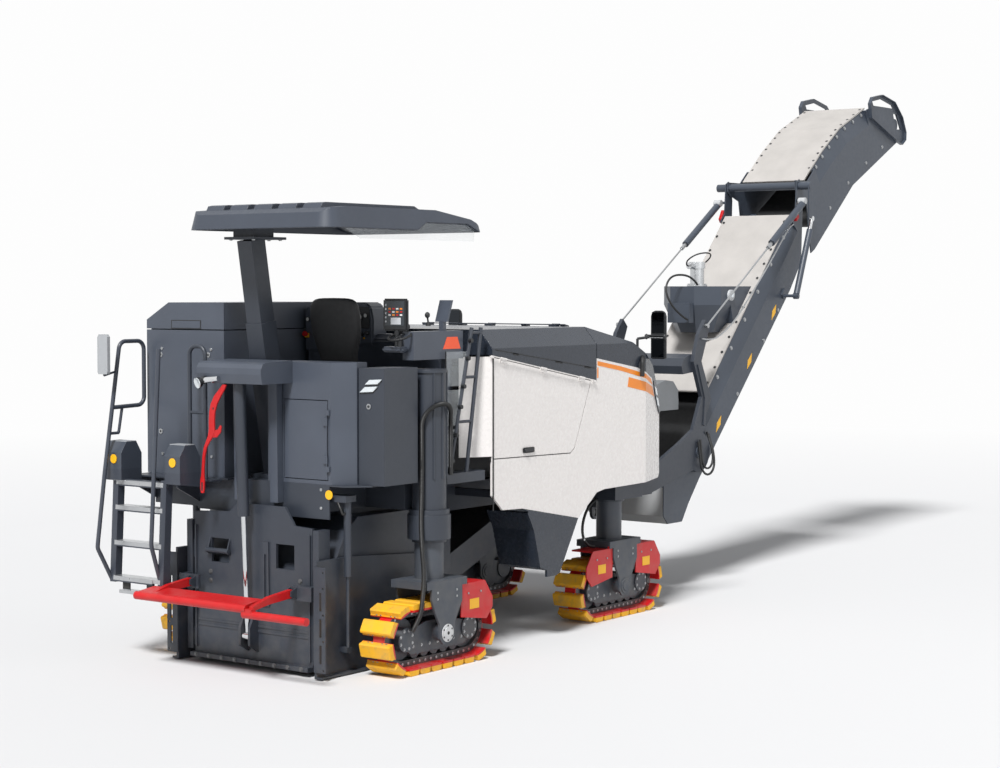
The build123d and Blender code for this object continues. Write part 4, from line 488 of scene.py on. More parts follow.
class Shape:
    """Collects solid forms for one body into one mesh."""

    def __init__(self, name: str) -> None:
        """Starts an empty piece.

        Args:
            name: The piece's name.
        """
        self.name = name
        self.mesh = bmesh.new()
        self.finishes: list[str] = []

    def take(self, part: bmesh.types.BMesh, finish: str, bevel: float = 0.0, smooth: bool = True) -> None:
        """Adds a finished form.

        Args:
            part: The form, which is freed.
            finish: Its finish's name.
            bevel: Width of its broken edges.
            smooth: Whether its faces shade smoothly.
        """
        if finish not in self.finishes:
            self.finishes.append(finish)
        bmesh.ops.recalc_face_normals(part, faces=part.faces)
        if bevel:
            sharp = [e for e in part.edges if len(e.link_faces) == 2 and e.calc_face_angle() > BEVEL_ANGLE]
            bmesh.ops.bevel(part, geom=sharp, offset=bevel, segments=2, affect="EDGES", clamp_overlap=True)
        for face in part.faces:
            face.material_index = self.finishes.index(finish)
            face.smooth = smooth
        scratch = bpy.data.meshes.new("scratch")
        part.to_mesh(scratch)
        part.free()
        self.mesh.from_mesh(scratch)
        bpy.data.meshes.remove(scratch)

    def prism(self, axis: Axis, outline: Sequence[Flat], low: float, high: float, finish: str,
              bevel: float = 0.002) -> "Shape":
        """Pushes an outline out along an axis.

        Args:
            axis: The direction.
            outline: Points in the other two axes, in their order.
            low: Start along the axis.
            high: End along the axis.
            finish: The finish's name.
            bevel: Width of its broken edges.

        Returns:
            The piece itself.
        """
        part = bmesh.new()
        rings = []
        for level in (low, high):
            ring = []
            for first, second in outline:
                spot = [first, second]
                spot.insert(axis.value, level)
                ring.append(part.verts.new(at(*spot)))
            rings.append(ring)
        count = len(outline)
        part.faces.new(rings[0])
        part.faces.new(rings[1][::-1])
        for i in range(count):
            j = (i + 1) % count
            part.faces.new((rings[0][i], rings[1][i], rings[1][j], rings[0][j]))
        self.take(part, finish, bevel)
        return self

    def slab(self, low: Point, high: Point, finish: str, bevel: float = 0.003) -> "Shape":
        """Adds a squared block with broken edges from its lowest and highest corners."""
        return self.prism(Axis.Z, box(*low[:2], *high[:2]), low[2], high[2], finish, bevel)

    def plate(self, corners: Sequence[Point], thick: float, finish: str, bevel: float = 0.001) -> "Shape":
        """Adds a flat plate on any plane.

        Args:
            corners: Its outline in space.
            thick: Thickness along the outline's normal.
            finish: The finish's name.
            bevel: Width of its broken edges.

        Returns:
            The piece itself.
        """
        part = bmesh.new()
        face = part.faces.new([part.verts.new(at(*c)) for c in corners])
        face.normal_update()
        shift = face.normal * thick
        grown = bmesh.ops.extrude_face_region(part, geom=[face])
        moved = [g for g in grown["geom"] if isinstance(g, bmesh.types.BMVert)]
        bmesh.ops.translate(part, verts=moved, vec=shift)
        self.take(part, finish, bevel)
        return self

    def rod(self, start: Point, end: Point, radius: float, finish: str, sides: int = 24,
            tip: Optional[float] = None, bevel: float = 0.0) -> "Shape":
        """Adds a round bar or a cone.

        Args:
            start: First end's centre.
            end: Second end's centre.
            radius: Radius at the first end.
            finish: The finish's name.
            sides: Facets round it.
            tip: Radius at the second end, or None for the same.
            bevel: Width of its broken edges.

        Returns:
            The piece itself.
        """
        first, last = at(*start), at(*end)
        run = last - first
        part = bmesh.new()
        turn = run.to_track_quat("Z", "Y").to_matrix().to_4x4()
        place = Matrix.Translation((first + last) / 2) @ turn
        bmesh.ops.create_cone(part, cap_ends=True, segments=sides, radius1=radius,
                              radius2=radius if tip is None else tip, depth=run.length, matrix=place)
        self.take(part, finish, bevel)
        return self

    def rods(self, *rows: tuple) -> "Shape":
        """Adds round bars, each from one row of rod's values.

        Args:
            rows: The rows.

        Returns:
            The piece itself.
        """
        for row in rows:
            self.rod(*row)
        return self

    def ball(self, centre: Point, radii: Point, finish: str) -> "Shape":
        """Adds an ellipsoid knob.

        Args:
            centre: Its centre.
            radii: Its half sizes.
            finish: The finish's name.

        Returns:
            The piece itself.
        """
        part = bmesh.new()
        place = Matrix.Translation(at(*centre)) @ Matrix.Diagonal((*radii, 1.0))
        bmesh.ops.create_uvsphere(part, u_segments=16, v_segments=8, radius=1.0, matrix=place)
        self.take(part, finish)
        return self

    def tube(self, points: Sequence[Point], radius: float, finish: str, sides: int = 10) -> "Shape":
        """Sweeps a round section along a smooth line through places."""
        return self.sweep(smooth_line([at(*p) for p in points]), radius, finish, sides)

    def sweep(self, line: Sequence[Vector], radius: float, finish: str, sides: int = 10,
              ribs: float = 0.0) -> "Shape":
        """Sweeps a round section along a line that is already smooth.

        Args:
            line: The line's points in the machine's frame.
            radius: The section's radius.
            finish: The finish's name.
            sides: Facets round it.
            ribs: Height of rings on a corrugated hose, or zero.

        Returns:
            The piece itself.
        """
        part = bmesh.new()
        side = (line[1] - line[0]).orthogonal().normalized()
        rings = []
        for i, spot in enumerate(line):
            ahead = (line[min(i + 1, len(line) - 1)] - line[max(i - 1, 0)]).normalized()
            side = (side - ahead * side.dot(ahead)).normalized()
            up = ahead.cross(side)
            reach = radius + (ribs if i % 2 else 0.0)
            rings.append([part.verts.new(spot + (side * math.cos(a) + up * math.sin(a)) * reach)
                          for a in (2 * math.pi * k / sides for k in range(sides))])
        bridge(part, rings)
        self.take(part, finish)
        return self

    def done(self, body: str, slot: str = "") -> bpy.types.Object:
        """Makes the object and sets it on its body.

        Args:
            body: The body that it moves with, or an empty name to leave it on no body, as for a piece between
                two bodies.
            slot: Not used; it names the record's material slot that its finish belongs to, if any.

        Returns:
            The object.
        """
        data = bpy.data.meshes.new(self.name)
        self.mesh.to_mesh(data)
        self.mesh.free()
        for finish in self.finishes:
            data.materials.append(PAINTS.get(finish))
        data.set_sharp_from_angle(angle=SHADE_ANGLE)
        made = add_object(self.name, data)
        if body:
            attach(made, body)
        LOG.info("%s: %d faces on %s", self.name, len(data.polygons), body)
        return made


@dataclass
class Hose:
    """A free hose or cable between two places on the machine, run on one NURBS line."""

    name: str
    body: str
    route: tuple[Point, ...]
    radius: float
    finish: str = "hose black"
    stiffness: str = "medium"
    ribs: float = 0.0
    other: str = ""
    steps: int = 12
    rib_steps: int = 30
    sides: int = 14

    def line(self, steps: int) -> list[Vector]:
        """Reads points from the route's NURBS line.

        Args:
            steps: Points between two places of the route.

        Returns:
            The points in the machine's frame.
        """
        curve = bpy.data.curves.new(self.name + "_route", "CURVE")
        curve.dimensions = "3D"
        run = curve.splines.new("NURBS")
        run.points.add(len(self.route) - 1)
        for knot, place in zip(run.points, self.route):
            knot.co = (*at(*place), 1.0)
        run.order_u = 3
        run.use_endpoint_u = True
        run.resolution_u = steps
        holder = add_object(self.name + "_route", curve)
        drawn = settled(holder)
        points = [v.co.copy() for v in drawn.vertices]
        bpy.data.objects.remove(holder)
        bpy.data.curves.remove(curve)
        bpy.data.meshes.remove(drawn)
        return points

    def build(self) -> None:
        """Makes the hose."""
        points = self.line(self.steps)
        piece = Shape(self.name)
        smooth = self.line(self.rib_steps) if self.ribs else points
        piece.sweep(smooth, self.radius, self.finish, self.sides, self.ribs)
        made = piece.done("" if self.other else self.body)
        if self.other:
            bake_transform(made)


def smooth_line(points: Sequence[Vector], steps: int = 10) -> list[Vector]:
    """Runs a smooth line through places.

    Args:
        points: The places.
        steps: Pieces between two of them.

    Returns:
        The line's points.
    """
    padded = [points[0] * 2 - points[1], *points, points[-1] * 2 - points[-2]]
    line = []
    for a, b, c, d in zip(padded, padded[1:], padded[2:], padded[3:]):
        for k in range(steps):
            t = k / steps
            line.append(0.5 * ((2 * b) + (c - a) * t + (2 * a - 5 * b + 4 * c - d) * t * t
                               + (3 * b - 3 * c + d - a) * t ** 3))
    line.append(points[-1].copy())
    return line


# ---- Fastenings by geometry nodes ---------------------------------------------------------
class Head(Enum):
    """Form of a fastening: sides, height as a share of its radius, and washer radius share."""

    HEX = (6, 0.7, 1.45)
    ROUND = (20, 0.5, 1.0)
    DOT = (16, 0.25, 1.0)


HEAD_SOCKETS = {"Geometry": "Geometry", "Head Radius": "Float", "Head Height": "Float",
                "Washer Radius": "Float", "Sides": "Int", "Seed": "Int", "Finish": "Material"}


@dataclass
class Fastenings:
    """Bolt heads or studs of one kind on one body, instanced by geometry nodes."""

    name: str
    body: str
    head: Head
    radius: float
    finish: str = "zinc"
    washer_height: float = 0.3
    washer_sides: int = 18
    seed: int = 7
    spots: list[tuple[Vector, Vector]] = field(default_factory=list)

    def put(self, place: Point, facing: Point) -> "Fastenings":
        """Adds one head at its seat's centre, pointing a given way."""
        self.spots.append((at(*place), Vector(facing).normalized()))
        return self

    def row(self, start: Point, end: Point, count: int, facing: Point) -> "Fastenings":
        """Adds evenly spaced heads.

        Args:
            start: First place.
            end: Last place.
            count: How many.
            facing: Direction that the heads point.

        Returns:
            The set itself.
        """
        for i in range(count):
            t = i / max(count - 1, 1)
            self.put(tuple(a + (b - a) * t for a, b in zip(start, end)), facing)
        return self

    def circle(self, centre: Point, radius: float, count: int, way: int) -> "Fastenings":
        """Adds heads round a circle that faces sideways.

        Args:
            centre: The circle's centre.
            radius: Its radius.
            count: How many.
            way: Plus one to point to the left.

        Returns:
            The set itself.
        """
        for x, z in circle_points((centre[0], centre[2]), radius, count, 0.5):
            self.put((x, centre[1], z), (0, way, 0))
        return self

    def tree(self) -> bpy.types.NodeTree:
        """Builds the node group that sets a head on each point.

        Returns:
            The group.
        """
        made = bpy.data.node_groups.new(self.name + " heads", "GeometryNodeTree")
        for label, kind in HEAD_SOCKETS.items():
            made.interface.new_socket(label, in_out="INPUT", socket_type="NodeSocket" + kind)
        made.interface.new_socket("Geometry", in_out="OUTPUT", socket_type="NodeSocketGeometry")
        graph = Graph(made)
        given = graph.node("NodeGroupInput").outputs
        join = graph.node("GeometryNodeJoinGeometry")
        for radius, share, sides in (("Head Radius", 1.0, given["Sides"]),
                                     ("Washer Radius", self.washer_height, self.washer_sides)):
            height = graph.math("MULTIPLY", given["Head Height"], share)
            form = graph.node("GeometryNodeMeshCylinder",
                              {"Vertices": sides, "Radius": given[radius], "Depth": height})
            lift = graph.node("CombineXYZ", {2: graph.math("MULTIPLY", height, 0.5)})
            move = graph.node("GeometryNodeTransform", {"Geometry": form.outputs["Mesh"],
                                                        "Translation": lift.outputs[0]})
            graph.feed(join.inputs[0], move.outputs[0])
        facing = graph.node("GeometryNodeInputNamedAttribute", {0: "facing"}, data_type="FLOAT_VECTOR")
        turn = graph.node("FunctionNodeAlignRotationToVector", {"Vector": facing.outputs[0]}, axis="Z")
        spin = graph.node("FunctionNodeRandomValue", {3: SPIN_LIMIT, "Seed": given["Seed"]},
                          data_type="FLOAT")
        about = graph.node("FunctionNodeAxisAngleToRotation", {0: (0.0, 0.0, 1.0), 1: spin.outputs[1]})
        both = graph.node("FunctionNodeRotateRotation", {0: turn.outputs[0], 1: about.outputs[0]},
                          rotation_space="LOCAL")
        heads = graph.node("GeometryNodeInstanceOnPoints", {
            "Points": given["Geometry"], "Instance": join.outputs[0], "Rotation": both.outputs[0]})
        real = graph.node("GeometryNodeRealizeInstances", {0: heads.outputs[0]})
        paint = graph.node("GeometryNodeSetMaterial", {0: real.outputs[0], "Material": given["Finish"]})
        graph.node("NodeGroupOutput", {0: paint.outputs[0]})
        return made

    def done(self) -> bpy.types.Object:
        """Instances the heads, and keeps them as one plain mesh on the body.

        Returns:
            The object.
        """
        sides, height, washer = self.head.value
        seats = bpy.data.meshes.new(self.name + "_seats")
        seats.from_pydata([tuple(place) for place, _ in self.spots], [], [])
        facing = seats.attributes.new("facing", "FLOAT_VECTOR", "POINT")
        for entry, (_, way) in zip(facing.data, self.spots):
            entry.vector = way
        source = add_object(self.name + "_seats", seats)
        values = {"Head Radius": self.radius, "Head Height": self.radius * height,
                  "Washer Radius": self.radius * washer, "Sides": sides, "Seed": self.seed,
                  "Finish": PAINTS.get(self.finish)}
        modifier = source.modifiers.new("heads", "NODES")
        modifier.node_group = self.tree()
        for item in modifier.node_group.interface.items_tree:
            if item.in_out == "INPUT" and item.name in values:
                modifier[item.identifier] = values[item.name]
        data = settled(source)
        source.modifiers.remove(modifier)
        bpy.data.objects.remove(source)
        data.name = self.name
        data.set_sharp_from_angle(angle=SHADE_ANGLE)
        made = add_object(self.name, data)
        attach(made, self.body)
        LOG.info("%s: %d heads on %s", self.name, len(self.spots), self.body)
        return made


# ---- Sub-assemblies -----------------------------------------------------------------------
@dataclass
class TrackTrim:
    """Chain pins, shoe and cover bolts, dark discs of painted shade for the pivot holes, and blank plates of
    one track.
    """

    body: str
    x: float
    y: float
    out: int
    guards: tuple[int, ...]
    half_run: float = 0.393
    loop_z: float = 0.2725
    pitch_radius: float = 0.19
    pins: int = 40
    shoes: int = 20
    pin_reach: float = 0.0552
    shoe_lift: float = 0.0392
    frame_face: float = 0.0812
    cover_face: float = 0.0932
    pivot_face: float = 0.1802
    guard_face: float = 0.1683
    pivot_z: float = 0.285
    pivot_ring: float = 0.057

    def off(self, reach: float) -> float:
        """Gives the place in Y at a distance outward from the track's middle plane."""
        return self.y + self.out * reach

    def loop_point(self, share: float) -> tuple[float, float, float, float]:
        """Gives a place on the chain's middle line.

        Args:
            share: Distance round the loop, from 0 to 1.

        Returns:
            X, Z and the outward direction's X and Z.
        """
        run, arc = 2 * self.half_run, math.pi * self.pitch_radius
        d = share * 2 * (run + arc)
        if d < run:
            return self.x - self.half_run + d, self.loop_z + self.pitch_radius, 0.0, 1.0
        if d < run + arc:
            turn = (d - run) / self.pitch_radius
            centre = self.x + self.half_run
        elif d < 2 * run + arc:
            return self.x + self.half_run - (d - run - arc), self.loop_z - self.pitch_radius, 0.0, -1.0
        else:
            turn = math.pi + (d - 2 * run - arc) / self.pitch_radius
            centre = self.x - self.half_run
        out_x, out_z = math.sin(turn), math.cos(turn)
        return centre + self.pitch_radius * out_x, self.loop_z + self.pitch_radius * out_z, out_x, out_z

    def build(self) -> None:
        """Makes the pieces."""
        self.chain()
        name, facing = self.body, (0, self.out, 0)
        drive = Fastenings(f"{name}_drive_bolts", name, Head.HEX, 0.009)
        for end in (-1, 1):
            drive.circle((self.x + end * self.half_run, self.off(self.cover_face), self.loop_z),
                         0.075, 8, self.out)
        y = self.off(self.frame_face)
        drive.row((self.x - 0.3, y, 0.21), (self.x + 0.3, y, 0.21), 7, facing).done()
        caps = Fastenings(f"{name}_pivot_bolts", name, Head.HEX, 0.007)
        y = self.off(self.pivot_face)
        for x in (self.x - 0.12, self.x + 0.12):
            caps.row((x, y, 0.56), (x, y, 0.61), 2, facing)
        caps.done()
        # On a rear track the pivot's bolt holes and middle hole are dark rubber discs: painted shade inside
        # the holes.
        if self.x == 0.0:
            holes = Shape(f"{name}_pivot_hole_shade")
            for x, z in circle_points((self.x, self.pivot_z), self.pivot_ring, 6, 0.5):
                holes.rod((x, self.off(0.1872), z), (x, self.off(0.1880), z), 0.008, RUBBER, 20)
            x, z = self.x, self.pivot_z
            holes.rod((x, self.off(0.19201), z), (x, self.off(0.1918), z), 0.014, RUBBER).done(name)
        plates = Shape(f"{name}_guard_plates")
        face = self.off(self.guard_face)
        for end in self.guards:
            a, b = sorted((self.x + end * 0.30, self.x + end * 0.42))
            low, high = sorted((face, face + self.out * 0.0015))
            plates.prism(Axis.Y, box(a, 0.43, b, 0.51), low, high, "warning yellow", 0.0)
            for x in (a - 0.02, b + 0.02):
                plates.rod((x, face, 0.56), (x, face + self.out * 0.006, 0.56), 0.009, "zinc", 6)
        plates.done(name)

    def chain(self) -> None:
        """Sets the chain's pins and the bolts of its shoes."""
        pins = Fastenings(f"{self.body}_chain_pins", self.body, Head.ROUND, 0.011)
        nuts = Fastenings(f"{self.body}_shoe_bolts", self.body, Head.HEX, 0.008)
        for i in range(self.pins):
            x, z, _, _ = self.loop_point((i + 0.5) / self.pins)
            for side in (-1, 1):
                pins.put((x, self.y + side * self.pin_reach, z), (0, side, 0))
        for i in range(self.shoes):
            x, z, ox, oz = self.loop_point((i + 0.5) / self.shoes)
            for along in (-0.052, 0.052):
                for side in (-0.09, -0.05, 0.05, 0.09):
                    nuts.put((x + oz * along + ox * self.shoe_lift, self.y + side,
                              z - ox * along + oz * self.shoe_lift), (ox, 0, oz))
        pins.done()
        nuts.done()


@dataclass
class BodyTrim:
    """Stripes, lamps, mirrors, seals and door handles of the engine bodywork."""

    half: float = 1.13
    taper_x: float = 3.02
    nose_x: float = 3.48
    nose_half: float = 0.98
    mirror_x: float = 3.160
    seal_reach: Flat = (1.108, 1.118)
    gasket_reach: Flat = (1.1303, 1.136)
    handle_reach: Flat = (1.131, 1.143)

    def skin(self, x: float, z: float, lift: float, side: int) -> Point:
        """Gives a place on the body's side.

        Args:
            x: Distance ahead of the rear axle.
            z: Height.
            lift: Distance off the surface.
            side: Plus one for the left.

        Returns:
            The place.
        """
        y = self.half
        if x > self.taper_x:
            y -= (x - self.taper_x) * (self.half - self.nose_half) / (self.nose_x - self.taper_x)
        return (x, side * (y + lift), z)

    def sticker(self, piece: Shape, outline: Sequence[Flat], side: int, finish: str,
                lift: float = 0.0007, thick: float = 0.0008, bevel: float = 0.0) -> None:
        """Lays a patch on one side, from its X and Z corners. A negative thickness grows inwards."""
        corners = [self.skin(x, z, lift, side) for x, z in outline]
        piece.plate(corners[::-1] if side * thick < 0 else corners, thick, finish, bevel)

    def paint(self) -> None:
        """Lays the stripes and the hood's shut line."""
        stripes, seams = Shape("body_stripes"), Shape("hood_seams")
        bands = ((((2.247, 2.326), (2.62, 2.268), (3.02, 2.190), (3.19, 2.137)),
                  ((2.247, 2.288), (2.62, 2.230), (3.02, 2.150), (3.235, 2.082))),
                 (((2.741, 2.171), (3.02, 2.118), (3.238, 2.064)),
                  ((2.721, 2.086), (3.02, 2.034), (3.300, 1.972))),
                 (((2.243, 2.27), (2.262, 2.27)), ((2.243, 2.18), (2.262, 2.18))))
        lines = (((0.78, 2.462), (2.20, 2.272), 0.007), ((1.02, 2.428), (1.10, 2.418), 0.016),
                 ((1.62, 2.348), (1.72, 2.335), 0.016), ((2.05, 2.290), (2.14, 2.278), 0.014))
        for side in (-1, 1):
            for top, foot in bands:
                for corners in zip(top, top[1:], foot[1:], foot):
                    self.sticker(stripes, corners, side, "stripe orange")
            for rear, front, wide in lines:
                self.sticker(seams, (rear, front, (front[0], front[1] - wide), (rear[0], rear[1] - wide)),
                             side, RUBBER)
        stripes.done("chassis", "body_white")
        seams.done("hood")

    def lamps(self) -> None:
        """Makes the twin lamps of the nose and the rubber hooks behind them."""
        lamps = Shape("head_lamps")
        rim = ((3.245, 2.118), (3.30, 2.098), (3.462, 1.915), (3.470, 1.80), (3.425, 1.835), (3.325, 1.955))
        glasses = (((3.275, 2.072), (3.335, 2.045), (3.383, 1.975), (3.318, 1.990)),
                   ((3.327, 1.972), (3.390, 1.952), (3.440, 1.868), (3.378, 1.888)))
        hook = ((3.02, 1.10, 2.32), (2.96, 1.135, 2.335), (2.925, 1.156, 2.30), (2.918, 1.158, 2.24),
                (2.915, 1.158, 2.17))
        for side in (-1, 1):
            self.sticker(lamps, rim, side, "hood grey", 0.0005, -0.010, 0.002)
            for glass in glasses:
                self.sticker(lamps, glass, side, GLASS, 0.0108, -0.006, 0.003)
            lamps.tube([(x, side * y, z) for x, y, z in hook], 0.021, RUBBER, 14)
        lamps.done("chassis")

    def mirrors(self) -> None:
        """Makes the nose mirrors on their arms."""
        heads = Shape("nose_mirrors")
        back = ((1.078, 2.33), (1.085, 2.318), (1.228, 2.318), (1.235, 2.33), (1.235, 2.70),
                (1.222, 2.738), (1.19, 2.752), (1.123, 2.752), (1.091, 2.738), (1.078, 2.70))
        arms = ((self.mirror_x, 1.03, 2.528, self.mirror_x, 1.245, 2.528, 0.009, PLASTIC),
                (self.mirror_x, 1.03, 2.508, self.mirror_x, 1.245, 2.508, 0.006, "zinc"),
                (3.08, 1.0, 2.3505, 3.08, 1.0, 2.50, 0.012, PLASTIC),
                (3.08, 1.0, 2.50, 3.185, 1.09, 2.518, 0.012, PLASTIC))
        for side in (-1, 1):
            heads.prism(Axis.X, [(side * y, z) for y, z in back], 3.175, 3.205, PLASTIC, 0.006)
            # Mirror glasses, dark as a painted reflection.
            for low, high in ((2.553, 2.738), (2.335, 2.50)):
                heads.prism(Axis.X, box(side * 1.094, low, side * 1.219, high), 3.1715, 3.176,
                            "mirror with painted dark reflection", 0.0)
            for x0, y0, z0, x1, y1, z1, radius, finish in arms:
                heads.rod((x0, side * y0, z0), (x1, side * y1, z1), radius, finish)
            for y in (1.045, 1.238):
                heads.ball((self.mirror_x, side * y, 2.518), (0.018, 0.014, 0.026), PLASTIC)
        made = heads.done("chassis")
        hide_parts("mirrors")

    def doors(self) -> None:
        """Makes the side doors' handles and seals."""
        line = [(0.752, 2.401), (0.752, 1.576), (1.84, 1.556), (1.905, 1.597), (2.152, 2.163)]
        wide = [(0.728, 2.420), (0.728, 1.556), (1.85, 1.534), (1.925, 1.585), (2.178, 2.170)]
        for side, name in ((-1, "right"), (1, "left")):
            handle = Shape(f"door_handle_{name}")
            y = side * self.handle_reach[0]
            low, high = beside(side, *self.handle_reach)
            handle.slab((1.15, low, 1.600), (1.31, high, 1.645), PLASTIC, 0.006)
            handle.rod((1.18, y, 1.6225), (1.18, y + side * 0.02, 1.6225), 0.016, PLASTIC)
            handle.done(f"door_{name}")
            seal = Shape(f"door_seal_{name}")
            for a, b, d, c in zip(line, line[1:] + line[:1], wide[1:] + wide[:1], wide):
                seal.prism(Axis.Y, [a, b, d, c], *beside(side, *self.seal_reach), RUBBER, 0.0)
            seal.done("chassis")

    def build(self) -> None:
        """Makes the pieces."""
        self.paint()
        self.lamps()
        self.mirrors()
        self.doors()
        gaskets = Shape("rear_corner_gaskets")
        for side in (-1, 1):
            gaskets.prism(Axis.Y, box(0.741, 1.16, 0.753, 2.40), *beside(side, *self.gasket_reach),
                          RUBBER, 0.0)
        gaskets.rod((2.05, -1.1302, 0.80), (2.05, -1.134, 0.80), 0.01, "zinc", 16)
        gaskets.done("chassis")
        # The ladder mirror's glass is dark as a painted reflection.
        glass = Shape("ladder_mirror_glass")
        glass.prism(Axis.X, [(1.137, 2.294), (1.213, 2.294), (1.222, 2.305), (1.222, 2.56), (1.21, 2.576),
                             (1.14, 2.576), (1.128, 2.56), (1.128, 2.305)], -1.2878, -1.2855,
                    "mirror with painted dark reflection", 0.0)
        glass.done("chassis")


@dataclass
class OperatorTrim:
    """Seat, dash, display, wheel, levers and lamps round the operator's place."""

    seat_x: float = -0.25
    seat_y: float = -0.355
    seat_z: float = 2.06
    sides: int = 28
    stand_x: float = -0.03
    stand_y: float = -0.4
    deck_z: float = 1.4602
    dash_x: float = 0.394
    pod_x: float = 0.1305
    screen_x: float = -0.2374
    wheel: Point = (-0.25, -0.985, 2.585)
    lamp_x: float = -0.6002
    back: tuple = ((2.09, 0.12, 0.02, 0.06), (2.12, 0.16, 0.04, 0.06), (2.3, 0.165, 0.045, 0.03),
                   (2.45, 0.18, 0.045, 0.0), (2.56, 0.24, 0.05, -0.01), (2.72, 0.25, 0.05, -0.03),
                   (2.83, 0.24, 0.045, -0.04), (2.87, 0.20, 0.03, -0.045), (2.878, 0.11, 0.012, -0.045))
    base: tuple = ((-0.20, 0.12, 0.02, 0.0), (-0.185, 0.2, 0.045, 0.0), (-0.05, 0.22, 0.055, 0.0),
                   (0.1, 0.22, 0.055, 0.005), (0.16, 0.2, 0.045, 0.0), (0.178, 0.13, 0.02, -0.01))

    def cushion(self, name: str, rows: Sequence[tuple[float, float, float, float]], upright: bool) -> None:
        """Makes one stuffed pad from rounded sections.

        Args:
            name: The piece's name.
            rows: Place along the pad, half width, half thickness and offset of each section.
            upright: Whether the pad stands.
        """
        part = bmesh.new()
        rings = []
        for place, half, thick, off in rows:
            ring = []
            for c, s in circle_points((0.0, 0.0), 1.0, self.sides):
                u = math.copysign(abs(c) ** 0.45, c) * half
                v = math.copysign(abs(s) ** 0.6, s) * thick + off
                spot = (self.seat_x + v, self.seat_y + u, place) if upright else \
                    (place, self.seat_y + u, self.seat_z + v)
                ring.append(part.verts.new(at(*spot)))
            rings.append(ring)
        bridge(part, rings)
        bmesh.ops.recalc_face_normals(part, faces=part.faces)
        for face in part.faces:
            face.smooth = True
        data = bpy.data.meshes.new(name)
        part.to_mesh(data)
        part.free()
        data.materials.append(PAINTS.get("seat cover"))
        made = add_object(name, data)
        soft = made.modifiers.new("soft", "SUBSURF")
        soft.levels = soft.render_levels = 1
        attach(made, "chassis")
        if upright:
            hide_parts("operator_seat")

    def build(self) -> None:
        """Makes the pieces."""
        self.cushion("seat_backrest", self.back, True)
        self.cushion("seat_cushion", self.base, False)
        stand = Shape("seat_frame")
        stand.slab((-0.17, -0.55, 1.94), (0.13, -0.25, 2.0), PLASTIC, 0.01)
        x, y = self.stand_x, self.stand_y
        stand.rod((x, y, self.deck_z), (x, y, 1.95), 0.06, PLASTIC)
        for i in range(6):
            z = 1.62 + i * 0.05
            stand.rod((x, y, z), (x, y, z + 0.03), 0.13, RUBBER, 32, 0.12)
        for side in (-1, 1):
            stand.rod((-0.19, y + side * 0.165, 2.1), (-0.19, y + side * 0.205, 2.1), 0.045, PLASTIC)
        stand.done("chassis")
        self.dash()
        self.dials()
        self.desk()
        self.cabinet_lamps()

    def dash(self) -> None:
        """Makes the dash with its two binnacles."""
        dash = Shape("dash_panel")
        dash.prism(Axis.Y, [(0.48, 1.4603), (0.62, 1.4603), (0.62, 2.55), (0.59, 2.58), (0.45, 2.58),
                            (0.41, 2.53), (0.47, 2.30)], -0.82, 0.34, "cabinet grey with painted light", 0.012)
        dash.prism(Axis.X, [(-0.16, 2.49), (-0.165, 2.70), (-0.14, 2.80), (-0.09, 2.838), (0.09, 2.838),
                            (0.14, 2.80), (0.16, 2.70), (0.155, 2.49)], 0.40, 0.585, "cabinet grey with painted light", 0.014)
        dash.prism(Axis.X, [(0.11, 2.44), (0.108, 2.66), (0.125, 2.77), (0.165, 2.812), (0.30, 2.812),
                            (0.34, 2.78), (0.3405, 2.44)], 0.13, 0.26, "cabinet grey with painted light", 0.014)
        dash.slab((0.15, 0.14, 1.4603), (0.25, 0.32, 2.45), "cabinet grey with painted light", 0.006)
        dash.slab((0.24, 0.13, 2.30), (0.475, 0.32, 2.44), "cabinet grey with painted light", 0.01)
        made = dash.done("chassis")
        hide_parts("dash_console")

    def dials(self) -> None:
        """Makes the instruments of both binnacles."""
        face, pod = self.dash_x, self.pod_x
        dials = Shape("dash_instruments")
        dials.slab((face, -0.13, 2.625), (0.3995, 0.12, 2.80), PLASTIC, 0.003)
        for y, z, r in ((-0.02, 2.717, 0.042), (-0.095, 2.73, 0.02), (0.06, 2.73, 0.02)):
            dials.rod((face, y, z), (0.386, y, z), r, PLASTIC, self.sides)
            dials.rod((0.3858, y, z), (0.3845, y, z), r * 0.78, "dial white", self.sides)
        dials.slab((0.3835, -0.026, 2.706), (0.385, -0.012, 2.728), PLASTIC, 0.0)
        for y, z in ((-0.105, 2.585), (-0.045, 2.575), (0.031, 2.575), (0.085, 2.585)):
            dials.rod((0.4, y, z), (0.375, y, z), 0.019, PLASTIC, 20, 0.016)
        dials.rod((0.4, -0.072, 2.545), (0.392, -0.072, 2.545), 0.008, "warning yellow", 16)
        dials.slab((0.1245, 0.285, 2.548), (pod, 0.339, 2.588), "warning yellow", 0.003)
        dials.rods(((0.128, 0.312, 2.574), (0.105, 0.312, 2.58), 0.012, "safety red", 20),
                   ((0.108, 0.312, 2.58), (0.09, 0.312, 2.585), 0.022, "safety red", 24, None, 0.004),
                   ((pod, 0.30, 2.70), (0.122, 0.30, 2.70), 0.02, PLASTIC),
                   ((0.1225, 0.30, 2.70), (0.1205, 0.30, 2.70), 0.015, "dial white"),
                   ((pod, 0.14, 2.55), (0.112, 0.14, 2.55), 0.016, PLASTIC, 20),
                   ((pod, 0.20, 2.55), (0.112, 0.20, 2.55), 0.016, PLASTIC, 20))
        dials.done("chassis")

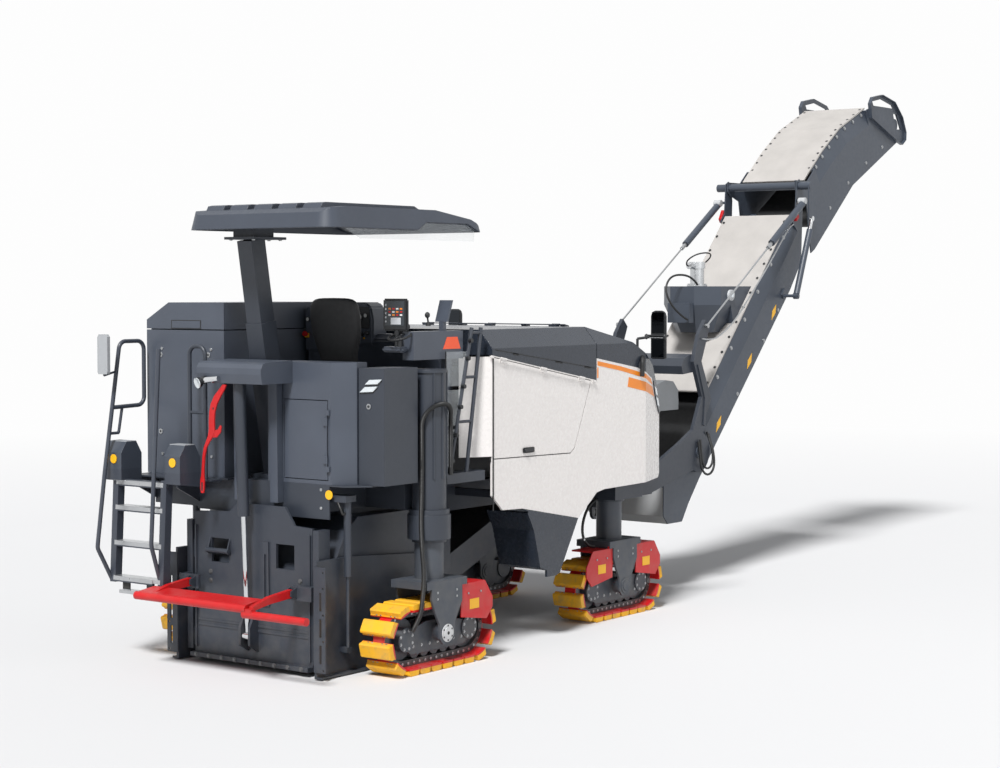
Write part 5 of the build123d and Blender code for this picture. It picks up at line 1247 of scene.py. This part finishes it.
    def desk(self) -> None:
        """Makes the display, wheel, joystick and trim of the right console."""
        desk = Shape("console_controls")
        desk.slab((-0.235, -1.042, 2.625), (-0.20, -0.80, 2.874), PLASTIC, 0.012)
        desk.slab((-0.2375, -1.018, 2.665), (-0.2345, -0.824, 2.855), "screen", 0.0)
        keys = [(-1.0 + 0.038 * i, 2.79 - 0.024 * k, 0.024, 0.012,
                 ("stripe orange", "dial white", "safety red")[(i + 2 * k) % 3])
                for i in range(4) for k in range(3)]
        keys.append((-0.985, 2.675, 0.1, 0.053, "key pads"))
        keys += [(-0.842, 2.69 + 0.032 * i, 0.013, 0.015, "key pads") for i in range(5)]
        for y, z, wide, tall, finish in keys:
            desk.slab((-0.2390, y, z), (self.screen_x, y + wide, z + tall), finish, 0.0)
        desk.rod((-0.215, -0.93, 2.50), (-0.215, -0.93, 2.63), 0.022, PLASTIC, 20)
        desk.slab((-0.29, -1.03, 2.46), (-0.16, -0.83, 2.505), "cabinet grey with painted light", 0.015)
        x, y, z = self.wheel
        ring = [(x + 0.088 * c, y + 0.088 * s, z + 0.03 * c)
                for c, s in circle_points((0.0, 0.0), 1.0, self.sides)]
        for first, second in zip(ring, ring[1:] + ring[:1]):
            desk.rod(first, second, 0.010, RUBBER, 10)
        desk.rod((x, y, 2.50), (x, y, z), 0.018, PLASTIC, 20)
        desk.rod((x - 0.085, y, 2.557), (x + 0.085, y, 2.612), 0.008, PLASTIC, 12)
        for x, y, z in ((0.03, -1.04, 2.6905), (-0.08, -0.93, 2.6005)):
            desk.rod((x, y, z - 0.03), (x, y, z), 0.02, RUBBER, 20, 0.012)
            desk.rod((x, y, z), (x - 0.01, y, z + 0.04), 0.007, PLASTIC, 12)
            desk.ball((x - 0.01, y, z + 0.055), (0.022, 0.02, 0.024), PLASTIC)
        # Red reflector on the console's side; its glow is painted light.
        desk.prism(Axis.Y, [(0.165, 2.478), (0.385, 2.478), (0.345, 2.572), (0.215, 2.572)], -1.0825, -1.0805,
                   "reflector red", 0.0)
        desk.done("chassis")

    def cabinet_lamps(self) -> None:
        """Makes the slanted twin lamps and the bolt of the right cabinet."""
        lamps = Shape("cabinet_lamps")
        for rows in (((-0.932, 2.225), (-0.978, 2.262), (-1.102, 2.269), (-1.060, 2.232)),
                     ((-0.880, 2.164), (-0.932, 2.207), (-1.060, 2.214), (-1.012, 2.173))):
            lamps.prism(Axis.X, rows, -0.607, self.lamp_x, GLASS, 0.002)
            lamps.prism(Axis.X, [(y, z - 0.011) for y, z in rows], -0.604, -0.6003, PLASTIC, 0.001)
        lamps.rod((self.lamp_x, -0.97, 2.06), (-0.606, -0.97, 2.06), 0.021, "zinc", 20)
        lamps.rod((-0.606, -0.97, 2.06), (-0.609, -0.97, 2.06), 0.011, PLASTIC, 6)
        lamps.done("chassis")


@dataclass
class RearTrim:
    """Bolts, reflectors, lamp, lever and cabinet trim at the rear."""

    scraper_x: float = -0.86
    cabinet_face: float = -0.7902
    panel_face: float = -0.7502

    def build(self) -> None:
        """Makes the pieces."""
        back = (-1, 0, 0)
        bolts = Fastenings("scraper_bolts", "scraper", Head.HEX, 0.014, "worn steel")
        x = self.scraper_x - 0.0602
        bolts.row((x, -0.56, 0.058), (x, 0.56, 0.058), 9, back)
        x = self.scraper_x - 0.0002
        for y in (-0.5, 0.45):
            bolts.row((x, y, 0.65), (x, y, 0.72), 2, back)
        bolts.done()
        studs = Fastenings("rear_cabinet_bolts", "chassis", Head.ROUND, 0.012)
        for y, z in ((0.5, 2.47), (1.05, 2.47), (0.5, 1.62), (1.05, 1.62)):
            studs.put((self.cabinet_face, y, z), back)
        studs.row((self.panel_face, -0.62, 1.28), (self.panel_face, -0.62, 1.42), 2, back).done()
        Shape("round_reflectors").rods(
            ((-1.2205, 0.5, 1.6), (-1.2265, 0.5, 1.6), 0.036, "warning yellow", 28),
            ((-1.2205, 1.16, 1.6), (-1.2265, 1.16, 1.6), 0.036, "warning yellow", 28),
            ((self.panel_face, -0.70, 1.385), (-0.757, -0.70, 1.385), 0.036, "warning yellow", 28)
        ).done("chassis")
        Shape("work_lamp").rods(
            ((-1.09, 0.15, 2.255), (-1.125, 0.17, 2.25), 0.024, "chrome"),
            ((-1.118, 0.10, 2.262), (-1.118, 0.255, 2.245), 0.021, "chrome", 24, 0.026),
            ((-1.118, 0.24, 2.248), (-1.118, 0.27, 2.245), 0.03, PLASTIC),
            ((-1.125, 0.285, 2.232), (-1.15, 0.292, 2.225), 0.036, PLASTIC, 28, 0.046),
            ((-1.1502, 0.292, 2.225), (-1.157, 0.294, 2.223), 0.042, GLASS, 28)
        ).done("chassis")
        self.lever()
        self.cabinet_details()

    def lever(self) -> None:
        """Makes the red lever that hangs from the cover."""
        strap = Shape("red_release_lever")
        rows = ((0.075, 2.215, 0.020), (0.105, 2.175, 0.030), (0.150, 2.125, 0.036), (0.190, 2.060, 0.034),
                (0.208, 2.000, 0.031), (0.214, 1.930, 0.030), (0.212, 1.870, 0.032), (0.222, 1.820, 0.030),
                (0.252, 1.775, 0.022), (0.285, 1.720, 0.016), (0.302, 1.650, 0.014), (0.311, 1.560, 0.013),
                (0.315, 1.500, 0.016), (0.318, 1.470, 0.022), (0.319, 1.400, 0.022), (0.319, 1.365, 0.014))
        outline = [(y - w, z) for y, z, w in rows] + [(y + w, z) for y, z, w in reversed(rows)]
        strap.prism(Axis.X, outline, -1.082, -1.070, "safety red", 0.0015)
        strap.prism(Axis.X, [(0.195, 1.855), (0.15, 1.868), (0.125, 1.902), (0.108, 1.890), (0.118, 1.845),
                             (0.16, 1.805), (0.215, 1.80)], -1.080, -1.072, "safety red", 0.0015)
        for y0, y1, z0, z1 in ((0.312, 0.327, 1.385, 1.45), (0.188, 0.2, 2.02, 2.035)):
            strap.slab((-1.0835, y0, z0), (-1.0818, y1, z1), PLASTIC, 0.0)
        strap.done("chassis", "safety_red")

    def cabinet_details(self) -> None:
        """Adds to the rear face a latch recess, shown as a black band of painted shade round a grey plate,
        and bolts and cylinder tubes.
        """
        face = self.cabinet_face
        latch = Shape("cabinet_trim")
        # The black plastic band round the grey latch plate is painted shade in the recess's gap.
        latch.prism(Axis.X, box(0.61, 2.63, 0.945, 2.70), -0.7915, face, PLASTIC, 0.0)
        latch.prism(Axis.X, box(0.62, 2.637, 0.935, 2.693), -0.7922, -0.7914, "cabinet grey with painted light", 0.0)
        latch.done("cabinet_lid")
        bolts = Shape("cabinet_bolts")
        for y, z in ((1.065, 2.42), (0.53, 2.427), (1.07, 1.80)):
            bolts.rod((face, y, z), (-0.795, y, z), 0.021, "zinc")
            bolts.rod((-0.795, y, z), (-0.797, y, z), 0.009, PLASTIC, 6)
        bolts.done("chassis")
        tubes = Shape("edge_cylinder_trim")
        for side in (-1, 1):
            y = side * 0.805
            tubes.tube([(-0.692, y, 1.25), (-0.715, y, 1.24), (-0.722, y - side * 0.02, 1.29),
                        (-0.712, y - side * 0.05, 1.328)], 0.009, "hose black")
        tubes.done("chassis")


@dataclass
class CanopyTrim:
    """Clear weather sheet, lamps and flange bolts of the canopy."""

    flange_z: float = 3.3298
    sheet_y: Flat = (-1.062, -1.058)

    def build(self) -> None:
        """Makes the pieces."""
        sheet = Shape("canopy_weather_sheet")
        sheet.prism(Axis.Y, [(-0.97, 3.397), (-0.165, 3.397), (-0.09, 3.455), (0.60, 3.455), (0.585, 3.325),
                             (-0.80, 3.325)], *self.sheet_y, "clear sheet", 0.0)
        sheet.done("canopy")
        lamp = Shape("canopy_lamps")
        for x, y, z in ((0.655, -0.90, 3.452), (-0.035, -0.99, 3.452)):
            lamp.rod((x, y, z), (x, y, z - 0.03), 0.034, PLASTIC, 24, 0.030)
            lamp.rod((x, y, z - 0.0302), (x, y, z - 0.034), 0.024, GLASS)
        lamp.done("canopy")
        bolts = Fastenings("canopy_flange_bolts", "canopy", Head.HEX, 0.012)
        for x in (-0.90, -0.60):
            bolts.row((x, -0.07, self.flange_z), (x, 0.17, self.flange_z), 3, (0, 0, -1))
        bolts.done()


@dataclass
class ConveyorTrim:
    """Sheet studs, wall bolts, labels, latches and dust motor trim of the loading conveyor."""

    lower_line: tuple[Flat, ...] = ((5.0, 1.61), (7.03, 3.76))
    upper_line: tuple[Flat, ...] = ((7.33, 4.112), (7.73, 4.453), (8.132, 4.724), (8.735, 4.984))
    strip_lean: float = 0.048
    strip_height: float = 0.18
    bolt_depth: float = 0.045
    cover_lift: float = 0.0182
    lower_face: float = 0.4402
    upper_face: float = 0.4202
    lower_half: float = 0.392
    upper_half: float = 0.372
    label_reach: Flat = (0.4403, 0.4412)
    latch_reach: Flat = (0.4403, 0.475)
    block_reach: Flat = (0.475, 0.56)
    motor: Flat = (5.83, 2.88)

    def build(self) -> None:
        """Makes the pieces."""
        self.studs()
        self.wall_bolts()
        self.marks()
        self.hardware()

    def studs(self) -> None:
        """Sets the studs that hold the cover sheets."""
        studs = Fastenings("cover_studs_lower", "lower_boom", Head.DOT, 0.014, PLASTIC)
        (x0, z0), (x1, z1) = self.lower_line
        slope = (z1 - z0) / (x1 - x0)
        up = Vector((-slope, 0, 1)).normalized()
        for i in range(12):
            x = 5.36 + i * 0.142
            for y in (-0.37, 0.37):
                studs.put(tuple(Vector((x, y, z0 + (x - x0) * slope)) + up * self.cover_lift), tuple(up))
        studs.done()
        upper = Fastenings("cover_studs_upper", "upper_boom", Head.DOT, 0.014, PLASTIC)
        for (ax, az), (bx, bz) in zip(self.upper_line, self.upper_line[1:]):
            run = Vector((bx - ax, 0, bz - az))
            out = Vector((-run.z, 0, run.x)).normalized()
            for t in (0.15, 0.4, 0.65, 0.9):
                for y in (-0.35, 0.35):
                    upper.put(tuple(Vector((ax, y, az)) + run * t + out * 0.0006), tuple(out))
        upper.done()

    def on_strip(self, line: Sequence[Flat], x: float, top_half: float, side: int,
                 lift: float = 0.0004) -> tuple[Point, Point]:
        """Finds a bolt's place on the leaning strip under a wall's top edge.

        Args:
            line: The edge's ends, X and Z.
            x: Place along it.
            top_half: Half width at the edge.
            side: Plus one for the left.
            lift: Distance off the surface.

        Returns:
            The place and the way that the surface faces.
        """
        (ax, az), (bx, bz) = line
        length = math.hypot(bx - ax, bz - az)
        ux, uz = (bx - ax) / length, (bz - az) / length
        z = az + (x - ax) * uz / ux
        lean = math.atan2(self.strip_lean, self.strip_height)
        facing = (-uz * math.sin(lean), side * math.cos(lean), ux * math.sin(lean))
        depth = self.bolt_depth
        y = side * (top_half + self.strip_lean * depth / self.strip_height)
        spot = (x + uz * depth + facing[0] * lift, y + facing[1] * lift, z - ux * depth + facing[2] * lift)
        return spot, facing

    def wall_bolts(self) -> None:
        """Sets the bolts along both edges of the walls."""
        for name, body, line, half, places in (
                ("lower", "lower_boom", self.lower_line, self.lower_half,
                 (5.45, 5.72, 5.99, 6.26, 6.53, 6.80)),
                ("upper", "upper_boom", self.upper_line[:2], self.upper_half, (7.55, 7.69)),
                ("upper_middle", "upper_boom", self.upper_line[1:3], self.upper_half, (7.85, 8.03)),
                ("upper_front", "upper_boom", self.upper_line[2:4], self.upper_half, (8.22, 8.42, 8.62))):
            bolts = Fastenings(f"wall_bolts_{name}", body, Head.HEX, 0.015)
            for side in (-1, 1):
                for x in places:
                    bolts.put(*self.on_strip(line, x, half, side))
            bolts.done()
        for name, body, face, places in (
                ("wall_foot_bolts", "lower_boom", self.lower_face,
                 ((5.30, 1.40), (5.823, 1.873), (6.359, 2.406), (6.66, 2.72))),
                ("upper_foot_bolts", "upper_boom", self.upper_face,
                 ((7.847, 3.83), (8.269, 4.12), (8.701, 4.36), (9.10, 4.56)))):
            bolts = Fastenings(name, body, Head.HEX, 0.014)
            for side in (-1, 1):
                for x, z in places:
                    bolts.put((x, side * face, z), (0, side, 0))
            bolts.done()

    def marks(self) -> None:
        """Lays the blank yellow labels and sets the red latches."""
        labels, latches = Shape("blank_labels"), Shape("conveyor_latches")
        for side in (-1, 1):
            for x, z in ((6.572, 2.70), (6.068, 2.20), (5.454, 1.585)):
                labels.prism(Axis.Y, [(x - 0.05, z - 0.085), (x + 0.035, z - 0.01), (x + 0.05, z + 0.085),
                                      (x - 0.035, z + 0.01)], *beside(side, *self.label_reach),
                             "warning yellow", 0.0)
            latches.prism(Axis.Y, [(7.00, 3.66), (7.05, 3.70), (7.03, 3.75), (7.07, 3.79), (7.03, 3.80),
                                   (6.97, 3.70)], *beside(side, *self.latch_reach), "safety red")
        labels.done("lower_boom")
        latches.done("lower_boom", "safety_red")

    def hardware(self) -> None:
        """Makes the dust motor's port and bolts, and the fold blocks."""
        x, z = self.motor
        motor = Shape("dust_motor_trim")
        motor.rods(((x, -0.3505, z), (x, -0.3545, z), 0.034, GLASS, 28),
                   ((x, -0.3685, z), (x, -0.372, z), 0.049, "light grey", 6),
                   ((x, -0.3718, z), (x, -0.376, z), 0.026, GLASS))
        for bolt in circle_points((5.75, 0.0), 0.092, 8):
            motor.rod((*bolt, 2.988), (*bolt, 2.997), 0.008, "zinc", 6)
        motor.done("lower_boom")
        blocks = Shape("fold_end_blocks")
        for side in (-1, 1):
            y0, y1 = beside(side, *self.block_reach)
            blocks.rod((7.036, y0, 3.875), (7.036, y1, 3.875), 0.036, "light grey", bevel=0.004)
        blocks.done("lower_boom")


@dataclass
class SideStepTrim:
    """Clear weather panes and knobs of the right side step."""

    foot: Flat = (0.210, 1.499)
    head: Flat = (0.500, 2.640)
    pane_x: float = 0.17
    pane_y: Flat = (-1.107, -1.103)
    knob_y: Flat = (-1.115, -1.145)

    def post(self, z: float) -> float:
        """Gives the rear post's place ahead of the rear axle at a height."""
        (x0, z0), (x1, z1) = self.foot, self.head
        return x0 + (x1 - x0) * (z - z0) / (z1 - z0)

    def build(self) -> None:
        """Makes the pieces."""
        panes = Shape("side_step_panes")
        for low, high in ((1.56, 1.845), (1.875, 2.155), (2.185, 2.455)):
            outline = [(self.pane_x, low), (self.post(low) - 0.02, low), (self.post(high) - 0.02, high),
                       (self.pane_x, high)]
            panes.prism(Axis.Y, outline, *self.pane_y, "clear sheet", 0.0)
        panes.done("chassis")
        knobs = Shape("side_step_knobs")
        for z in (1.60, 1.80, 2.02, 2.18, 2.40, 2.54):
            x = self.post(z) - 0.018
            knobs.rod((x, self.knob_y[0], z), (x, self.knob_y[1], z), 0.017, PLASTIC, 20)
        knobs.slab((0.164, -1.110, 1.55), (0.172, -1.100, 2.46), RUBBER, 0.002)
        knobs.done("chassis")


HOSES = (
    Hose("column_hose", "chassis",
         ((0.1298, -1.1828, 1.50), (0.1298, -1.1828, 1.60), (0.1298, -1.1828, 1.72), (0.1298, -1.1828, 1.835),
          (0.1298, -1.1828, 1.933), (0.0937, -1.2143, 2.016), (0.0165, -1.2412, 2.064),
          (-0.0765, -1.2241, 2.064), (-0.1391, -1.1711, 2.016), (-0.1616, -1.1288, 1.933),
          (-0.162, -1.129, 1.83), (-0.162, -1.129, 1.70), (-0.162, -1.129, 1.52), (-0.168, -1.130, 1.36),
          (-0.181, -1.135, 1.22), (-0.186, -1.140, 1.08), (-0.205, -1.165, 0.93), (-0.252, -1.220, 0.79),
          (-0.284, -1.2425, 0.67), (-0.30, -1.2425, 0.57), (-0.314, -1.2415, 0.48), (-0.332, -1.215, 0.40),
          (-0.348, -1.184, 0.335)), 0.0165, ribs=0.0018, other="track_rear_right"),
    Hose("front_track_hose", "chassis",
         ((2.72, -0.80, 1.07), (2.63, -0.80, 1.04), (2.545, -0.805, 0.965), (2.49, -0.81, 0.87),
          (2.482, -0.815, 0.775), (2.525, -0.82, 0.70), (2.60, -0.825, 0.660), (2.66, -0.825, 0.654)), 0.0125,
         other="track_front_right"),
    Hose("dust_hose", "lower_boom",
         ((5.545, -0.13, 2.982), (5.53, -0.12, 3.02), (5.44, -0.06, 3.09), (5.27, 0.02, 3.08),
          (5.17, 0.03, 2.94), (5.20, -0.03, 2.78), (5.30, -0.09, 2.67), (5.375, -0.12, 2.63)), 0.0105),
    Hose("motor_hose", "lower_boom",
         ((5.578, 0.0, 3.178), (5.545, 0.004, 3.182), (5.50, -0.03, 3.235), (5.535, -0.115, 3.295),
          (5.65, -0.17, 3.315), (5.78, -0.15, 3.30), (5.85, -0.09, 3.255), (5.845, -0.04, 3.215)), 0.0075),
    Hose("luff_hose_outer", "yoke",
         ((4.93, -0.521, 1.44), (4.93, -0.532, 1.36), (4.93, -0.543, 1.28), (4.93, -0.55, 1.205),
          (4.965, -0.555, 1.145), (5.025, -0.556, 1.110), (5.095, -0.556, 1.110), (5.155, -0.555, 1.145),
          (5.190, -0.55, 1.205), (5.196, -0.541, 1.28), (5.205, -0.52, 1.36), (5.22, -0.48, 1.44),
          (5.228, -0.456, 1.50)), 0.0115, other="lower_boom"),
    Hose("luff_hose_inner", "yoke",
         ((4.965, -0.521, 1.46), (4.965, -0.53, 1.38), (4.965, -0.538, 1.305), (4.965, -0.545, 1.243),
          (4.992, -0.548, 1.197), (5.038, -0.549, 1.170), (5.092, -0.549, 1.170), (5.138, -0.548, 1.197),
          (5.165, -0.545, 1.243), (5.170, -0.541, 1.305), (5.178, -0.523, 1.38), (5.192, -0.483, 1.46),
          (5.20, -0.456, 1.52)), 0.0105, other="lower_boom"),
    Hose("sag_cable", "yoke",
         ((4.99, -0.518, 2.455), (5.08, -0.528, 2.44), (5.30, -0.53, 2.46), (5.62, -0.532, 2.63),
          (5.95, -0.532, 2.90), (6.35, -0.52, 3.22), (6.68, -0.49, 3.48), (6.86, -0.46, 3.59),
          (6.95, -0.443, 3.62), (6.99, -0.437, 3.625)), 0.0075, "zinc", "limp", other="lower_boom"),
)


# ---- Studio -------------------------------------------------------------------------------
@dataclass(frozen=True)
class Studio:
    """Camera, soft lights, pale floor and backdrop."""

    eye: Point = (-16.5748, -11.0639, 2.9646)
    heading: float = 36.7077
    drop: float = 2.699
    lens: float = 74.2
    sensor: float = 36.0
    sun_way: Point = (5.6, 1.9, -7.2)
    sun_power: float = 4.2
    sun_spread: float = 12.0
    fill_place: Point = (-2.0, -13.0, 6.0)
    fill_target: Point = (-1.0, 0.0, 1.5)
    fill_size: Flat = (9.0, 5.0)
    fill_power: float = 170.0
    ambient: float = 0.26
    ambient_colour: Point = (0.95, 0.97, 1.0)
    backdrop: float = 0.985
    floor_colour: Point = (0.68, 0.68, 0.685)
    floor_radius: float = 120.0
    fade: Flat = (9.0, 24.0)

    def build(self) -> None:
        """Sets the studio up."""
        scene = bpy.context.scene
        scene.view_settings.view_transform = "Standard"
        camera = bpy.data.cameras.new("camera")
        camera.lens, camera.sensor_width, camera.clip_end = self.lens, self.sensor, 500.0
        scene.camera = add_object("camera", camera)
        scene.camera.location = self.eye
        scene.camera.rotation_euler = (math.radians(90 - self.drop), 0.0, math.radians(self.heading - 90))
        sun = bpy.data.lights.new("key", "SUN")
        sun.energy, sun.angle = self.sun_power, math.radians(self.sun_spread)
        key = add_object("key", sun)
        key.rotation_euler = Vector(self.sun_way).to_track_quat("-Z", "Y").to_euler()
        fill = bpy.data.lights.new("fill", "AREA")
        fill.shape, (fill.size, fill.size_y), fill.energy = "RECTANGLE", self.fill_size, self.fill_power
        lamp = add_object("fill", fill)
        lamp.location = self.fill_place
        way = Vector(self.fill_target) - Vector(self.fill_place)
        lamp.rotation_euler = way.to_track_quat("-Z", "Y").to_euler()
        self.world()
        self.floor()

    def world(self) -> None:
        """Sets soft light all round, behind a plain backdrop."""
        world = bpy.data.worlds.new("studio")
        bpy.context.scene.world = world
        graph = Graph.of(world)
        rays = graph.node("LightPath").outputs
        seen = rays["Is Camera Ray"]
        for ray in ("Is Glossy Ray", "Is Transmission Ray"):
            seen = graph.math("MAXIMUM", seen, rays[ray])
        soft = graph.node("Background", {0: (*self.ambient_colour, 1.0), 1: self.ambient})
        plain = graph.node("Background", {0: (*[self.backdrop] * 3, 1.0), 1: 1.0})
        mix = graph.node("MixShader", {0: seen, 1: soft.outputs[0], 2: plain.outputs[0]})
        graph.node("OutputWorld", {0: mix.outputs[0]})

    def floor(self) -> None:
        """Lays the pale floor, which fades into the backdrop far away."""
        data = bpy.data.meshes.new("floor")
        part = bmesh.new()
        bmesh.ops.create_circle(part, cap_ends=True, segments=96, radius=self.floor_radius,
                                matrix=Matrix.Translation((0.0, 0.0, -0.0015)))
        part.to_mesh(data)
        part.free()
        material = bpy.data.materials.new("studio floor")
        graph = Graph.of(material)
        near = graph.node("BsdfPrincipled", {"Base Color": (*self.floor_colour, 1.0), "Roughness": 0.9})
        far = graph.node("Emission", {"Color": (*[self.backdrop] * 3, 1.0)})
        reach = graph.node("VectorMath", {0: graph.place}, operation="LENGTH").outputs["Value"]
        blend = graph.node("MixShader", {0: graph.span(reach, *self.fade), 1: near.outputs[0],
                                         2: far.outputs[0]})
        graph.node("OutputMaterial", {0: blend.outputs[0]})
        data.materials.append(material)
        made = add_object("floor", data)


# ---- The whole picture --------------------------------------------------------------------
TRACKS = (TrackTrim("track_rear_right", 0.0, -1.07, -1, (1,)),
          TrackTrim("track_rear_left", 0.0, 1.07, 1, (1,)),
          TrackTrim("track_front_right", 2.955, -0.78, -1, (-1, 1)),
          TrackTrim("track_front_left", 2.955, 0.78, 1, (-1, 1)))

NODE_FINISHES = {
    "body white": ("side_panel_left", "side_panel_right", "side_door_left", "side_door_right"),
    "hood grey": ("hood_lid", "hood_cowl", "fenders"),
    # The rear cabinet takes this lighter grey as painted light on its lit rear face.
    "cabinet grey with painted light": ("rear_cabinet", "rear_cabinet_door", "left_cabinet",
                     "left_cabinet_lid", "dash_console", "control_console", "cylinder_cover"),
    "canopy shell": ("canopy_roof",),
    "safety red": ("rear_bumper",),
    RUBBER: ("primary_belt", "belt_lower", "belt_upper"),
    "chrome": ("scraper_rod", "fold_rod"),
    "zinc": ("luff_ropes",),
    "worn steel": ("milling_drum", "engine_block"),
    "conveyor grey": ("conveyor_lower", "conveyor_upper", "dust_extraction_hood", "fold_cylinder",
                      "luff_cylinders"),
    "ladder grey": ("rear_ladder",),
    "primary grey": ("primary_conveyor",),
    "cover sheet": ("cover_lower", "cover_upper"),
    PLASTIC: ("mirrors", "operator_seat"),
}


def track_zones(trim: TrackTrim) -> tuple[Zone, ...]:
    """Lists the parts of one track's frame that have another colour.

    Args:
        trim: The track.

    Returns:
        A rear track's pivot disc, and the faces and tops of the guards.
    """
    zones = []
    if trim.x == 0.0:
        low, high = sorted((trim.off(0.1815), trim.off(0.2)))
        zones.append(Zone((trim.x - 0.075, low, 0.21), (trim.x + 0.075, high, 0.36), "C9CACB", 0.4))
    for end in trim.guards:
        for near, far, foot, reaches in ((0.1902, 0.62, 0.30, (0.155, 0.172)),
                                         (0.2501, 0.52, 0.62, (-0.062, 0.17))):
            a, b = sorted((trim.x + end * near, trim.x + end * far))
            low, high = sorted(trim.off(reach) for reach in reaches)
            zones.append(Zone((a, low, foot), (b, high, 0.66), "C4151B", 0.35))
    return tuple(zones)


def dress_nodes() -> None:
    """Gives every CAD node its finish."""
    chosen = {node: name for name, nodes in NODE_FINISHES.items() for node in nodes}
    for trim in TRACKS:
        label = trim.body.replace("track_", "")
        chosen[f"track_belt_{label}"] = PAINTS.add(TrackFinish(
            f"track loop {label}", "35383D", 0.5, dust=0.12, edge=0.003, centre_x=trim.x))
        chosen[f"track_frame_{label}"] = PAINTS.add(Finish(
            f"track frame {label}", "42474F", 0.45, dust=0.1, zones=track_zones(trim)))
    for name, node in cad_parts.items():
        material = PAINTS.get(chosen.get(name, "frame grey"))
        node.data.materials.clear()
        node.data.materials.append(material)


def main() -> None:
    """Builds everything."""
    logging.basicConfig(level=logging.INFO, format="%(name)s: %(message)s")
    dress_nodes()
    for trim in TRACKS:
        trim.build()
    for part in (BodyTrim(), OperatorTrim(), RearTrim(), CanopyTrim(), ConveyorTrim(), SideStepTrim(),
                 *HOSES):
        part.build()
    Studio().build()


if __name__ == "__main__":
    main()
